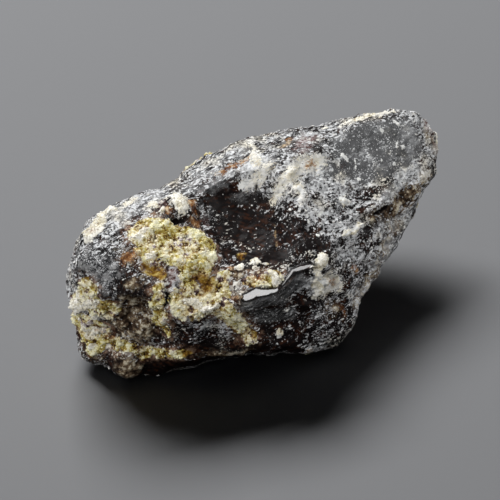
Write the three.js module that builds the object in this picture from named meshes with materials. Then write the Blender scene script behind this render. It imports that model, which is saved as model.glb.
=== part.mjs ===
// Rough black amber: one unpolished lump of fossil resin, broken at the blunt end and
// weathered to a crumbly crust, with glassy hollows where flakes have come away.
// Millimetres, +Z up. +X runs from the blunt end to the raised tip, and the lump rests on z = 0.
import * as THREE from "three";
import { ConvexHull } from "three/addons/math/ConvexHull.js";
import { ImprovedNoise } from "three/addons/math/ImprovedNoise.js";
import { mergeVertices } from "three/addons/utils/BufferGeometryUtils.js";

// --- Driving dimensions ---
const HEART = new THREE.Vector3(0, -1, 12); // every part of the surface is in sight of this point
const HALF_SIZE = new THREE.Vector3(30, 15, 12); // rough half length, width and height
const SKIN_DETAIL = 19; // the skin has 20 * (SKIN_DETAIL + 1)^2 triangles
const EDGE_ROUNDS = 2; // passes of averaging that wear the broken edges
const RIM_WEAR = 0.5; // how far the rim of a hollow is blended
const KNOB_WEAR = 1.6; // how far the foot of a knob is blended
const SWELL = { size: 11, height: 0.7, octaves: 2 }; // slow undulation of the broken faces
const GRAIN = { size: 3.2, height: 0.42, octaves: 3 }; // knobbly weathering
const LEDGE = { pitch: 2.6, height: 0.45, dip: new THREE.Vector3(-0.15, -0.35, 1) }; // flow layers

// The lump's corners, where its broken faces meet, in rows from the blunt end to the tip.
const CORNERS = {
  skyline: [
    [-26.2, 5.5, 22.2], [-22, 8, 22.5], [-16, 9.5, 22.6], [-8, 10, 22.2], [-1, 10, 22.3],
    [5.5, 9, 24.2], [11, 8, 24.2], [16, 7.3, 22.4], [19.6, 6, 22.3], [23.4, 4.5, 22.8],
    [28.2, 2.2, 23.8], [32.4, 0.4, 23.2],
  ],
  brow: [
    [-26.2, 0, 21.4], [-19, 1.5, 22.2], [-14.6, 4, 22.9], [-6.5, 4.5, 23], [-1.3, 2, 23.4],
    [1, 0, 24], [6, 0, 25],
  ],
  face: [
    [-15.6, -5, 19.6], [-10, -6, 18.5], [3.3, -6, 22.8], [6.3, -9, 19.7], [19.2, -3, 20.8],
    [11.4, -7, 21.4], [-16.7, -10, 14.6], [-10.9, -12, 16.2], [-5.8, -12.5, 15.9],
    [-0.1, -12.5, 17.2], [-5.3, -13, 10.8], [4.2, -14.5, 9.8],
  ],
  keel: [
    [11, -12, 6.2], [11, -11.5, 12.7], [19.3, -7, 16.4], [28.7, -5, 16.2], [16.8, -10, 8.2],
    [22.1, -8, 10.5], [24.9, -6, 12.6],
  ],
  tip: [[32.8, -1.2, 19], [31.8, -4, 16.2], [30.3, -5.2, 15], [29.2, -4.2, 12.4]],
  bluntEnd: [
    [-28, 3.5, 21], [-27.9, 3, 17], [-27.8, 4, 12.2], [-27.3, 5, 8.6], [-27, 6, 2.7],
    [-26.8, -1, 16.3], [-24.7, -5, 18.8],
  ],
  lowerEdge: [
    [-26.5, 3, 1.8], [-25, 0, 2.1], [-24, -1.5, 0.3], [-22.6, -3.5, 2], [-19.7, -6, 4.9],
    [-17.7, -8, 5.8], [-14, -9, 4.4], [-8.2, -12, 5], [-4.4, -14, 4.4], [-0.1, -15, 2.3],
    [4.9, -15, 3.6], [8.8, -14, 5.1],
  ],
  back: [
    [-25, 11, 14], [-16, 14, 14], [-4, 15.5, 14], [8, 14.5, 15], [18, 11.5, 14], [27, 7, 15],
    [-24, 10, 4], [-15, 12.5, 4], [-4, 13.5, 4], [8, 11.5, 5], [18, 7, 8], [27, 2.5, 12],
  ],
  underside: [
    [-20, 6, -0.6], [-10, 9, -0.6], [0, 9, -0.6], [7, 6, -0.6], [8, -3, -0.6], [4, -9, -0.6],
    [-5, -8, -0.6], [-14, -5, -0.6], [15, 0, 4],
  ],
};

// Shell-shaped hollows left by flakes, each a ball [x, y, z, radius] that bites into the lump.
const HOLLOWS = {
  deepScoop: [-4.4, -4.8, 25.2, 6.6],
  scoopTail: [-0.4, -7, 25.9, 5.8],
  shelfLeft: [-8.2, -16.2, 21.2, 6.6],
  shelfRight: [-1.6, -16.1, 22.2, 6.6],
  flakeScar: [-15.6, -16.6, 10.6, 6.8],
  undercut: [-24.2, -9.2, 11.2, 5],
  resinPit: [-12.4, 0.6, 24.2, 1.9],
  honeyPit: [-14.9, -6.3, 20.9, 2.1],
  honeyPitLow: [-14, -8.9, 18.4, 2.1],
  skylinePit: [-7.4, 8.1, 24.6, 2.4],
  saddle: [14.4, 1.2, 31.4, 8],
  flankDent: [18.5, -15.5, 13.6, 6],
  cheekDent: [6.4, -20.5, 8.4, 6.4],
  backScoop: [-9, 20.5, 19, 9],
  backFlake: [7.5, 21, 9.5, 9],
  backHollow: [18, 17, 18, 7.6],
  endDent: [-32.6, 4.6, 14.8, 5.4],
};

// Knobs of crust and resin that stand proud, each a ball [x, y, z, radius].
const KNOBS = {
  foot: [-22.6, -0.8, 3.4, 3.1],
  heel: [-25, 3.6, 4, 3],
  shoulder: [-20, 6.2, 18.6, 4.4],
  ridge: [-11.6, 2.6, 21, 3],
  brow: [4.8, 1.2, 19.6, 6],
  crumb: [2.1, -11.3, 15.6, 1.8],
  crumbLow: [0.4, -12.6, 12.6, 1.8],
  chin: [3.6, -11.4, 5.2, 4],
  backSwell: [1, 10.4, 14, 6],
  backFoot: [-17, 9.4, 6, 4],
};

// --- Helpers ---
const noise = new ImprovedNoise();

// Gradient noise at a point, summed over octaves, for lumps `size` mm across.
function unevenness(point, { size, height, octaves }) {
  let sum = 0;
  for (let octave = 0; octave < octaves; octave++) {
    const scale = 2 ** octave / size;
    sum += noise.noise(point.x * scale, point.y * scale, point.z * scale) / 2 ** octave;
  }
  return height * sum;
}

// The lower of two heights, with the corner between them rounded over `wear`.
function wornMinimum(a, b, wear) {
  const overlap = Math.max(wear - Math.abs(a - b), 0) / wear;
  return Math.min(a, b) - (overlap * overlap * wear) / 4;
}

// Where a ray from the heart meets a ball, as [near, far] distances, or null past its edge.
function ballCrossing(direction, [x, y, z, radius]) {
  const toCentre = new THREE.Vector3(x, y, z).sub(HEART);
  const along = toCentre.dot(direction);
  const halfChordSquared = radius ** 2 - toCentre.lengthSq() + along ** 2;
  if (along < 0 || halfChordSquared < 0) return null;
  const halfChord = Math.sqrt(halfChordSquared);
  return [along - halfChord, along + halfChord];
}

// --- Shaping, as the distance from the heart to the surface along a direction ---

// The broken faces: triangles between neighbouring corners, found as the hull of their directions.
function brokenFaces() {
  const cornerOf = new Map();
  for (const row of Object.values(CORNERS))
    for (const [x, y, z] of row) {
      const corner = new THREE.Vector3(x, y, z);
      cornerOf.set(corner.clone().sub(HEART).divide(HALF_SIZE).normalize(), corner);
    }
  const hull = new ConvexHull().setFromPoints([...cornerOf.keys()]);
  return hull.faces.map((face) =>
    [0, 1, 2].map((side) => cornerOf.get(face.getEdge(side).head().point)),
  );
}

function reachToFace(direction, faces) {
  const ray = new THREE.Ray(HEART, direction);
  const hit = new THREE.Vector3();
  for (const [a, b, c] of faces)
    if (ray.intersectTriangle(a, b, c, false, hit)) return hit.distanceTo(HEART);
  throw new Error("a ray misses the broken faces");
}

// Each value averaged with its neighbours', as wear does to an edge.
function worn(values, triangles) {
  const sum = values.slice();
  const count = values.map(() => 1);
  for (let i = 0; i < triangles.length; i++) {
    const next = i % 3 === 2 ? i - 2 : i + 1;
    sum[triangles[i]] += values[triangles[next]];
    count[triangles[i]] += 1;
  }
  return sum.map((total, i) => total / count[i]);
}

function reachWithHollows(reach, direction) {
  for (const ball of Object.values(HOLLOWS)) {
    const crossing = ballCrossing(direction, ball);
    if (crossing) reach = wornMinimum(reach, crossing[0], RIM_WEAR);
  }
  return reach;
}

function reachWithKnobs(reach, direction) {
  for (const ball of Object.values(KNOBS)) {
    const crossing = ballCrossing(direction, ball);
    if (crossing) reach = -wornMinimum(-reach, -crossing[1], KNOB_WEAR);
  }
  return reach;
}

// Flow layers that break in small steps: a ramp that drops back once every pitch.
function ledgeHeight(point) {
  const bend = unevenness(point, SWELL) * 2;
  const layer = (point.dot(LEDGE.dip) + bend) / LEDGE.pitch;
  const ramp = layer - Math.floor(layer);
  return LEDGE.height * (ramp - 0.5) * Math.max(0, unevenness(point, { ...SWELL, height: 1 }) + 0.5);
}

// --- The lump ---

// An even ball of directions as a closed mesh with shared vertices.
function ballOfDirections() {
  const ball = new THREE.IcosahedronGeometry(1, SKIN_DETAIL);
  ball.deleteAttribute("normal");
  ball.deleteAttribute("uv");
  return mergeVertices(ball, 1e-5);
}

function lumpGeometry() {
  const skin = ballOfDirections();
  const position = skin.getAttribute("position");
  const faces = brokenFaces();
  const ovalPoints = Array.from({ length: position.count }, (_, i) =>
    new THREE.Vector3().fromBufferAttribute(position, i).multiply(HALF_SIZE),
  );
  const directions = ovalPoints.map((point) => point.clone().normalize());
  let share = directions.map((way, i) => reachToFace(way, faces) / ovalPoints[i].length());
  for (let round = 0; round < EDGE_ROUNDS; round++) share = worn(share, skin.index.array);
  directions.forEach((direction, i) => {
    const reach = share[i] * ovalPoints[i].length();
    const carved = reachWithKnobs(reachWithHollows(reach, direction), direction);
    const point = direction.clone().multiplyScalar(carved).add(HEART);
    const relief = unevenness(point, SWELL) + unevenness(point, GRAIN) + ledgeHeight(point);
    point.addScaledVector(direction, relief);
    position.setXYZ(i, point.x, point.y, Math.max(point.z, 0)); // it rests on a flat worn base
  });
  return skin;
}

// The origin lies under the middle of the lump, on the surface that it rests on.
function centredOverBase(geometry) {
  geometry.computeBoundingBox();
  const middle = geometry.boundingBox.getCenter(new THREE.Vector3());
  return geometry.translate(-middle.x, -middle.y, 0);
}

const amber = new THREE.Mesh(
  centredOverBase(lumpGeometry()),
  new THREE.MeshStandardMaterial({ color: 0x1c1714, roughness: 0.45, metalness: 0 }),
);
amber.name = "amber";

const part = new THREE.Group();
part.add(amber);
export default part;
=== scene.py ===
# %% [markdown]
# # A lump of rough black amber
#
# Rough amber is fossil resin as it comes out of the ground. This lump is about 60 mm long and nearly
# black: where it has chipped, the resin is as glossy as glass, and elsewhere a weathered crust covers
# it, cream and olive where it crumbles, and grey or white where it has only been rubbed to powder.
#
# The packed model is a faceted lump of the right size and form. This script loads it as a fixed
# frame, grows a finely detailed skin round it, sprinkles that skin with crumbs and grains, and paints
# everything with procedural materials. All lengths in the tables below are millimetres.

# %% The frame
import math

import bmesh
import bpy
import numpy as np
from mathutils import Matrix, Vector, noise
from mathutils.bvhtree import BVHTree


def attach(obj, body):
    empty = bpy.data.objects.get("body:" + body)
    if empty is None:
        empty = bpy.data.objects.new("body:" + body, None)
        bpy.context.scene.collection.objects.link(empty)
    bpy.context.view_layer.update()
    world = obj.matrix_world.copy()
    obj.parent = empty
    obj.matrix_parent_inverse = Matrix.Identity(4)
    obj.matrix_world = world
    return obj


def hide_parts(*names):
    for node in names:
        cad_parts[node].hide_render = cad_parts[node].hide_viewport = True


MM = 0.001  # Blender's unit here is the metre

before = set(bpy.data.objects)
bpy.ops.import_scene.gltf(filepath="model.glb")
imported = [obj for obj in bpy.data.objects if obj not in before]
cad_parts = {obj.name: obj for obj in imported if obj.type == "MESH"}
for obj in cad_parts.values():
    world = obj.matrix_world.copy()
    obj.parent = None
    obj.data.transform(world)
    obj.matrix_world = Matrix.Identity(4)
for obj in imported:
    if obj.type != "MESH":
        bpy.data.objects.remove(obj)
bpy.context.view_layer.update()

# %% [markdown]
# ## The camera
#
# A long lens from 300 mm away keeps the lump's proportions true, as a product shot does. The camera
# stands to the left of the front and looks down by 40 degrees. The spots and strokes further down are
# given in the pixels of its square view, so the camera comes first.

# %% Camera
AZIMUTH, ELEVATION = math.radians(-36), math.radians(40)
AIM = Vector((-3.2, -0.4, 11.7))
DISTANCE = 300
LENS, SENSOR = 150, 36
NEAREST, FARTHEST = 10, 20000
VIEW = 500  # pixels along each side of the view
PIXEL = DISTANCE * SENSOR / LENS / VIEW  # what one pixel spans at the lump, in mm

TOWARDS_CAMERA = Vector(
    (
        math.sin(AZIMUTH) * math.cos(ELEVATION),
        -math.cos(AZIMUTH) * math.cos(ELEVATION),
        math.sin(ELEVATION),
    )
)
VIEW_RIGHT = Vector((math.cos(AZIMUTH), math.sin(AZIMUTH), 0))
VIEW_UP = TOWARDS_CAMERA.cross(VIEW_RIGHT)
EYE = AIM + DISTANCE * TOWARDS_CAMERA


def linked(name, data):
    """An object holding this data, placed in the scene."""
    thing = bpy.data.objects.new(name, data)
    bpy.context.scene.collection.objects.link(thing)
    return thing


def aim(thing, place, direction):
    """Puts a camera or lamp at a place, looking along a direction."""
    thing.location = place * MM
    thing.rotation_euler = direction.to_track_quat("-Z", "Y").to_euler()


def make_camera():
    data = bpy.data.cameras.new("camera")
    data.lens, data.sensor_width = LENS, SENSOR
    data.clip_start, data.clip_end = NEAREST * MM, FARTHEST * MM
    camera = linked("camera", data)
    aim(camera, EYE, -TOWARDS_CAMERA)
    bpy.context.scene.camera = camera


make_camera()
print("one pixel spans", round(PIXEL, 3), "mm at the lump")

# %% [markdown]
# ## The floor
#
# The lump lies on something plain, so that nothing else draws the eye. A bent sheet could run up
# behind it, but the camera looks down and sees no horizon, so one flat face does: pale grey, matt,
# and so wide that its edges stay far from the lump.

# %% Floor
FLOOR_SIZE, FLOOR_ROUGHNESS = 3000, 0.8
FLOOR_TONE = (0.39, 0.395, 0.41, 1)


def plain_material(name, tone, roughness):
    material = bpy.data.materials.new(name)
    material.use_nodes = True
    shader = material.node_tree.nodes["Principled BSDF"]
    shader.inputs["Base Color"].default_value = tone
    shader.inputs["Roughness"].default_value = roughness
    return material


def make_floor():
    half = FLOOR_SIZE * MM / 2
    corners = [(-half, -half, 0), (half, -half, 0), (half, half, 0), (-half, half, 0)]
    mesh = bpy.data.meshes.new("floor")
    mesh.from_pydata(corners, [], [(0, 1, 2, 3)])
    mesh.materials.append(plain_material("pale floor", FLOOR_TONE, FLOOR_ROUGHNESS))
    linked("floor", mesh)


make_floor()
print("the floor is", FLOOR_SIZE, "mm wide")

# %% [markdown]
# ## The light
#
# One broad softbox stands behind the lump, high up. It alone draws the shadow, which falls forwards,
# and the glassy lip mirrors it as a bright band. Three weaker softboxes stand on the left, on the
# right and in front, so that the shaded sides stay readable. They could light the floor too, but that
# would draw three more shadows, so light linking lets them reach the lump alone.

# %% Lights and sky
SKY_TONE = (0.8, 0.85, 0.95, 1)
SKY_STRENGTH = 0.008
KEY_DIRECTION = (0.12, 0.66, 0.74)
LAMP_DISTANCE = 900
# Each softbox: its direction seen from the lump, width, height and power in watts
KEY_SOFTBOX = (KEY_DIRECTION, 560, 320, 6.8)
WEAK_SOFTBOXES = {
    "left softbox": ((-0.85, 0.0, 0.65), 700, 500, 5.0),
    "right softbox": ((0.75, -0.45, 0.75), 500, 500, 3.5),
    "front softbox": ((-0.25, -0.45, 0.90), 700, 700, 1.5),
}


def make_softbox(name, direction, width, height, power):
    data = bpy.data.lights.new(name, "AREA")
    data.shape = "RECTANGLE"
    data.size, data.size_y = width * MM, height * MM
    data.energy = power
    lamp = linked(name, data)
    away = Vector(direction).normalized()
    aim(lamp, AIM + LAMP_DISTANCE * away, -away)
    return lamp


def make_sky():
    world = bpy.data.worlds.new("sky")
    world.use_nodes = True
    background = world.node_tree.nodes["Background"]
    background.inputs["Color"].default_value = SKY_TONE
    background.inputs["Strength"].default_value = SKY_STRENGTH
    bpy.context.scene.world = world


make_softbox("key softbox", *KEY_SOFTBOX)
lump = bpy.data.collections.new("lump")
for name, softbox in WEAK_SOFTBOXES.items():
    make_softbox(name, *softbox).light_linking.receiver_collection = lump
make_sky()
bpy.context.scene.view_settings.view_transform = "Standard"
print("softboxes:", 1 + len(WEAK_SOFTBOXES), "of which", len(WEAK_SOFTBOXES), "light the lump alone")

# %% [markdown]
# ## A fine mesh for the skin
#
# The CAD lump has 8000 flat triangles. A Subdivision Surface turns them into a smooth skin with cells
# of a quarter of a millimetre, small enough to carry crumbs and cracks. The CAD mesh itself must not
# change, so the work is done on a copy, whose loose triangles are joined first.

# %% The lump's smooth skin
SMOOTH_LEVELS = 2
JOINING_REACH = 0.001


def merged_copy(node, name):
    """A copy of a CAD node's mesh with its loose triangles joined."""
    mesh = node.data.copy()
    mesh.name = name
    work = bmesh.new()
    work.from_mesh(mesh)
    bmesh.ops.remove_doubles(work, verts=work.verts, dist=JOINING_REACH * MM)
    work.to_mesh(mesh)
    work.free()
    mesh.materials.clear()
    return mesh


def made_plain(thing):
    """Puts an object's modifiers into its mesh and removes them."""
    graph = bpy.context.evaluated_depsgraph_get()
    mesh = bpy.data.meshes.new_from_object(thing.evaluated_get(graph))
    thing.modifiers.clear()
    thing.data = mesh


def triangles(thing):
    return sum(len(face.vertices) - 2 for face in thing.data.polygons)


skin = linked("amber_skin", merged_copy(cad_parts["amber"], "amber_skin"))
smooth = skin.modifiers.new("smooth", "SUBSURF")
smooth.levels = smooth.render_levels = SMOOTH_LEVELS
made_plain(skin)
print("skin triangles:", triangles(skin))

# %% [markdown]
# ## Where each finish lies
#
# On the real lump crust, powder, glassy breaks and stains all have their own places. They could be
# painted by hand on an image texture, but a table of brush strokes stays readable and is easy to
# change. A stroke is a chain of points with half widths, which a ray from the camera drops onto the
# skin: seen that way the strokes read like a drawing. On the skin it becomes a chain of balls in
# space, so it wraps round ledges instead of smearing down them, and its edge is frayed with noise.
#
# For every finish the skin stores one number per vertex: how far inside the nearest stroke it lies,
# in mm. The relief and the materials both read that number, so raised crust and cream colour agree.

# %% From strokes to depths on the skin
FRAYS = ((3.2, 0.45), (1.1, 0.30))  # size and reach of the noise that frays a stroke, in mm
FAR = -20.0  # the depth stored where no stroke is near
NOISE_SEED = 3
NO_LENGTH = 1e-9  # stands in for a length of 0, which nothing can be divided by


def spot(x, y):
    """The place on the skin, in mm, that the camera sees at pixel (x, y)."""
    across, upwards = (x - VIEW / 2) * PIXEL, (VIEW / 2 - y) * PIXEL
    sight = (AIM + across * VIEW_RIGHT + upwards * VIEW_UP - EYE).normalized()
    place = skin_tree.ray_cast(EYE * MM, sight)[0]
    if place is None:
        raise ValueError(f"no skin at pixel {x}, {y}")
    return np.array(place) / MM


def depth_in_stroke(points, stroke):
    """How far inside a stroke each point lies, in mm; negative outside."""
    stops = [(spot(x, y), half * PIXEL) for x, y, half in stroke]
    depth = np.full(len(points), FAR)
    for (start, r0), (end, r1) in zip(stops, stops[1:] or stops):
        along = end - start
        length2 = max(float(along @ along), NO_LENGTH)
        t = np.clip((points - start) @ along / length2, 0, 1)
        gap = np.linalg.norm(points - start - t[:, None] * along, axis=1)
        depth = np.maximum(depth, r0 + (r1 - r0) * t - gap)
    return depth


def deepest(points, strokes):
    """How far inside the nearest of several strokes each point lies."""
    return np.max([depth_in_stroke(points, stroke) for stroke in strokes], axis=0)


def frayed(points):
    """The points pushed about by noise, so that a stroke's edge isn't a clean line."""
    moved = points.copy()
    for size, reach in FRAYS:
        moved += reach * np.array([noise.noise_vector(Vector(p) / size) for p in points])
    return moved


skin_tree = BVHTree.FromObject(skin, bpy.context.evaluated_depsgraph_get())
noise.seed_set(NOISE_SEED)
print("the middle of the view falls on", spot(VIEW / 2, VIEW / 2).round(1), "mm")

# %% [markdown]
# ## Finer cells for the lip
#
# The pocket's glassy lip mirrors the light, and a mirror shows every cell. The cells there are halved
# once more. To pay for them, the flat base, which needs no detail, becomes one face. Halving every
# cell would be simpler, but it would make the skin four times as heavy.

# %% Cells split at the lip and joined on the base
FINE_STROKES = [[(250, 296, 10), (280, 285, 10), (306, 268, 8)]]
BASE_HEIGHT = 0.01  # vertices below this belong to the flat base


def join_base(work):
    flat = [f for f in work.faces if all(v.co.z < BASE_HEIGHT * MM for v in f.verts)]
    bmesh.ops.dissolve_faces(work, faces=flat, use_verts=True)


def split_cells(work, strokes):
    work.verts.ensure_lookup_table()
    points = np.array([v.co for v in work.verts]) / MM
    near = deepest(points, strokes) > 0
    chosen = [e for e in work.edges if all(near[v.index] for v in e.verts)]
    bmesh.ops.subdivide_edges(work, edges=chosen, cuts=1, use_grid_fill=True)


def refine(mesh, strokes):
    work = bmesh.new()
    work.from_mesh(mesh)
    join_base(work)
    split_cells(work, strokes)
    work.to_mesh(mesh)
    work.free()


refine(skin.data, FINE_STROKES)
print("skin triangles:", triangles(skin))

# %% [markdown]
# ## The crumbly crust
#
# On the left of the lump the resin has crumbled to a thick crust, cream to olive. Its darkest crumbs
# are mauve, cracks run through it, and in a few small windows clear honey-coloured resin looks out.
# Crust and cracks will be modelled in relief; olive, honey and mauve only tint what is there.

# %% Strokes of crust, its olive parts, windows, stains and cracks
# Each stroke is a chain of x, y and half width, all in view pixels
CRUST_STROKES = {
    "crust": [
        [(135, 230, 7), (146, 226, 9), (160, 227, 9), (174, 234, 7)],
        [(141, 240, 9), (160, 246, 11), (180, 244, 12), (196, 239, 11), (203, 246, 10)],
        [(203, 256, 9), (202, 267, 8), (188, 262, 11), (172, 258, 9)],
        [(187, 275, 7), (191, 290, 8), (182, 304, 11)],
        [(176, 298, 8), (196, 306, 11), (208, 299, 11), (219, 292, 8), (223, 278, 5)],
        [(212, 304, 9), (222, 309, 9), (233, 319, 7), (243, 330, 5), (251, 340, 4)],
        [(248, 281, 4), (262, 281, 5), (277, 280, 8)],
        [(157, 290, 4), (158, 302, 4), (161, 322, 6), (167, 331, 4)],
        [(142, 254, 6), (150, 262, 5)],
        [(88, 288, 8), (92, 302, 15), (106, 310, 11)],
        [(84, 318, 13), (96, 326, 14), (94, 344, 8)],
        [(110, 340, 5), (130, 348, 4), (147, 351, 4)],
        [(160, 353, 5), (174, 353, 5), (186, 350, 4)],
        [(77, 300, 5), (76, 322, 6), (79, 338, 5)],
    ],
    "olive": [
        [(160, 228, 6), (174, 233, 5)],
        [(198, 236, 8), (212, 250, 5)],
        [(200, 262, 6), (192, 276, 5)],
        [(226, 314, 4), (237, 326, 4)],
        [(103, 308, 6)],
        [(187, 273, 8), (196, 262, 7)],
        [(84, 346, 8), (110, 344, 9), (132, 348, 6)],
        [(150, 290, 6), (158, 322, 9), (167, 331, 6)],
        [(190, 350, 6), (150, 354, 6)],
        [(126, 372, 7)],
        [(276, 281, 6)],
    ],
    "honey": [
        [(190, 272, 2.5), (201, 279, 3)],
        [(208, 284, 8), (202, 278, 4)],
        [(145, 268, 4), (153, 271, 7), (162, 274, 5)],
        [(103, 306, 4)],
        [(78, 324, 3)],
        [(244, 254, 4)],
        [(189, 350, 4)],
        [(162, 322, 3)],
    ],
    "mauve": [
        [(160, 206, 7)],
        [(309, 138, 9), (300, 150, 8)],
        [(172, 270, 7), (172, 284, 7)],
        [(424, 121, 6), (433, 138, 5), (436, 152, 4)],
        [(170, 251, 6)],
        [(205, 217, 5)],
    ],
    "crack": [
        [(174, 222, 4), (181, 221, 5)],
        [(155, 232, 2), (156, 243, 2.2)],
        [(186, 239, 2), (192, 234, 2), (201, 233, 1.5)],
        [(170, 234, 1.5), (176, 240, 1.5)],
        [(198, 250, 1.5), (196, 256, 1.5)],
        [(163, 262, 2), (168, 269, 2)],
        [(176, 283, 2.5), (178, 290, 2)],
        [(262, 188, 1), (281, 188, 1)],
        [(261, 156, 1), (275, 147, 1)],
        [(258, 178, 2), (261, 191, 2)],
        [(162, 289, 2), (167, 297, 4), (164, 305, 2.5)],
        [(147, 323, 1), (162, 334, 1), (178, 340, 1)],
        [(376, 213, 3), (387, 208, 3)],
    ],
}
print("strokes of the crust:", sum(len(strokes) for strokes in CRUST_STROKES.values()))

# %% [markdown]
# ## White powder
#
# Where the crust has been rubbed to powder it is nearly white. It lies in three ways: thick lumps,
# which get a domed relief, a thin film in streaks, which is only colour, and single flat chips.

# %% Strokes of white lumps, films and chips
WHITE_STROKES = {
    "white": [
        [(113, 210, 4), (99, 222, 6), (89, 237, 7)],
        [(138, 240, 5), (145, 232, 4)],
        [(150, 258, 4)],
        [(82, 296, 6), (78, 308, 4), (97, 300, 4)],
        [(98, 328, 5), (88, 334, 5), (82, 322, 5)],
        [(96, 314, 4), (106, 318, 3)],
        [(92, 346, 4)],
        [(277, 279, 5)],
        [(186, 301, 2.5), (202, 308, 4), (214, 307, 3)],
        [(251, 147, 3), (256, 158, 2)],
        [(290, 172, 2), (296, 168, 2)],
        [(320, 264, 7.5)],
        [(316, 280, 8), (321, 290, 8), (316, 299, 6)],
        [(329, 281, 3)],
        [(238, 267, 2.5), (252, 263, 3.5), (264, 266, 3)],
        [(350, 198, 5)],
        [(178, 200, 7), (183, 209, 5)],
        [(152, 205, 3), (162, 211, 3)],
        [(325, 130, 2), (348, 125, 3), (371, 117, 2), (394, 112, 2)],
        [(343, 235, 2), (360, 226, 3)],
        [(289, 311, 2)],
        [(281, 337, 4)],
    ],
    "film": [
        [(273, 197, 4), (281, 186, 6), (292, 174, 8), (304, 164, 9), (322, 160, 7)],
        [(248, 179, 3), (257, 174, 5), (266, 166, 5)],
        [(299, 188, 6), (303, 199, 4)],
        [(250, 144, 3), (255, 152, 4), (258, 162, 4)],
        [(120, 208, 4), (134, 200, 4)],
        [(330, 277, 7), (338, 286, 7), (326, 292, 5)],
    ],
    "chip": [
        [(346, 196, 4), (353, 199, 4)],
        [(318, 277, 3.5), (325, 283, 3.5), (322, 291, 3)],
        [(394, 122, 2.5), (399, 124, 2.5)],
        [(382, 129, 2.2), (385, 132, 2.2)],
        [(387, 144, 1.2), (387, 152, 1.2)],
        [(398, 140, 1.6), (398, 145, 2)],
        [(403, 147, 2.8)],
        [(394, 164, 2.6)],
        [(382, 160, 2)],
        [(344, 154, 3), (350, 158, 2.4)],
        [(358, 158, 1.2), (360, 166, 1.2)],
        [(398, 174, 1.6), (398, 180, 1.6)],
        [(365, 175, 2.6)],
        [(379, 138, 1.6)],
        [(362, 131, 1.4)],
        [(362, 144, 1.6)],
        [(371, 153, 1.4)],
        [(334, 236, 1.8)],
        [(299, 188, 3), (304, 193, 3)],
        [(300, 200, 2.4)],
        [(289, 312, 3)],
        [(281, 337, 3)],
        [(240, 180, 3), (247, 177, 2.5)],
        [(343, 235, 2), (350, 231, 2), (361, 226, 2)],
        [(321, 214, 2.5), (325, 210, 2)],
        [(308, 222, 2.2)],
        [(317, 236, 2)],
        [(290, 210, 2)],
        [(249, 322, 1.6)],
        [(222, 207, 1.4)],
        [(252, 199, 1.6)],
    ],
}
print("strokes of white powder:", sum(len(strokes) for strokes in WHITE_STROKES.values()))

# %% [markdown]
# ## Bare amber
#
# Fresh breaks show the resin itself. The big hollow is dark, the pocket below it is smooth as glass,
# and the facet on the right is rubbed to a satin grey. The pocket's lip is a narrow ledge that mirrors
# the light. A thin brown vein crosses the hollow. One small satin stroke in the pocket is a painted
# highlight, a soft grey spot that stands in for sheen.

# %% Strokes of bare amber
BARE_STROKES = {
    "dark": [
        [(208, 198, 8), (236, 199, 14), (262, 205, 12)],
        [(232, 222, 16), (262, 232, 18)],
        [(282, 236, 10), (296, 252, 9)],
        [(234, 250, 9), (254, 250, 9), (280, 260, 7)],
        [(192, 325, 9), (214, 330, 12), (232, 336, 6)],
        [(232, 278, 5), (240, 290, 4)],
    ],
    "glass": [
        [(246, 308, 6), (262, 303, 9), (285, 298, 10), (300, 280, 8)],
        [(262, 320, 10), (290, 316, 9)],
    ],
    "satin_and_sheen": [
        # The first satin stroke is a painted highlight: a soft grey spot of sheen in the glassy pocket
        [(285, 308, 1.5), (292, 305, 1.5)],
        [(345, 148, 16), (376, 138, 20), (406, 134, 17)],
        [(360, 168, 14), (384, 160, 18), (408, 154, 12)],
        [(326, 168, 8), (345, 172, 9)],
    ],
    "ledge": [
        [(246, 298, 3.6), (256, 293, 4.4), (268, 292.5, 3.2), (277, 290, 2.4)],
        [(277, 290, 2.3), (287, 279, 1.5), (293, 271, 2.0), (302, 268, 2.6), (311, 266, 2)],
    ],
    "vein": [
        [(274, 208, 1), (275, 230, 1), (277, 245, 1)],
    ],
}
print("strokes of bare amber:", sum(len(strokes) for strokes in BARE_STROKES.values()))

# %% [markdown]
# ## Soil and rust
#
# Brown soil still sticks in the folds and on the edges that lay deepest. One patch on the left end is
# covered by a dark fuzz, and iron has left small rusty stains.

# %% Strokes of soil, fuzz and rust
SOIL_STROKES = {
    "earth": [
        [(426, 178, 9), (406, 200, 13), (393, 225, 13)],
        [(386, 246, 11), (371, 275, 10), (358, 300, 10)],
        [(426, 124, 9), (433, 150, 7)],
        [(124, 302, 10), (142, 318, 19), (132, 336, 13)],
        [(130, 284, 5), (144, 282, 4)],
        [(120, 322, 10), (126, 338, 9)],
        [(79, 336, 5), (84, 352, 7), (100, 358, 6)],
        [(234, 272, 6), (240, 278, 4)],
        [(372, 216, 7), (390, 207, 7), (408, 194, 7)],
        [(128, 368, 13)],
        [(205, 353, 5), (250, 350, 4)],
        [(331, 309, 10)],
        [(128, 256, 9)],
    ],
    "fuzz": [
        [(88, 262, 14), (105, 270, 16), (98, 286, 11)],
    ],
    "rust": [
        [(91, 233, 3)],
        [(218, 175, 2), (234, 166, 3.5), (250, 158, 2)],
        [(281, 149, 2), (290, 138, 2)],
        [(190, 203, 5), (195, 209, 3)],
        [(196, 219, 6)],
        [(167, 211, 4)],
        [(307, 166, 3), (315, 162, 4)],
        [(352, 268, 2), (354, 274, 2)],
        [(331, 281, 2.5), (336, 285, 2)],
        [(229, 268, 3)],
        [(126, 261, 5), (136, 254, 3)],
        [(96, 323, 2), (112, 336, 3)],
        [(310, 350, 2.5)],
        [(170, 357, 3)],
        [(88, 356, 3)],
        [(76, 306, 3)],
        [(252, 279, 3), (262, 278, 3)],
        [(342, 309, 3), (345, 318, 2)],
        [(237, 297, 3)],
    ],
}
print("strokes of soil and rust:", sum(len(strokes) for strokes in SOIL_STROKES.values()))

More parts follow.
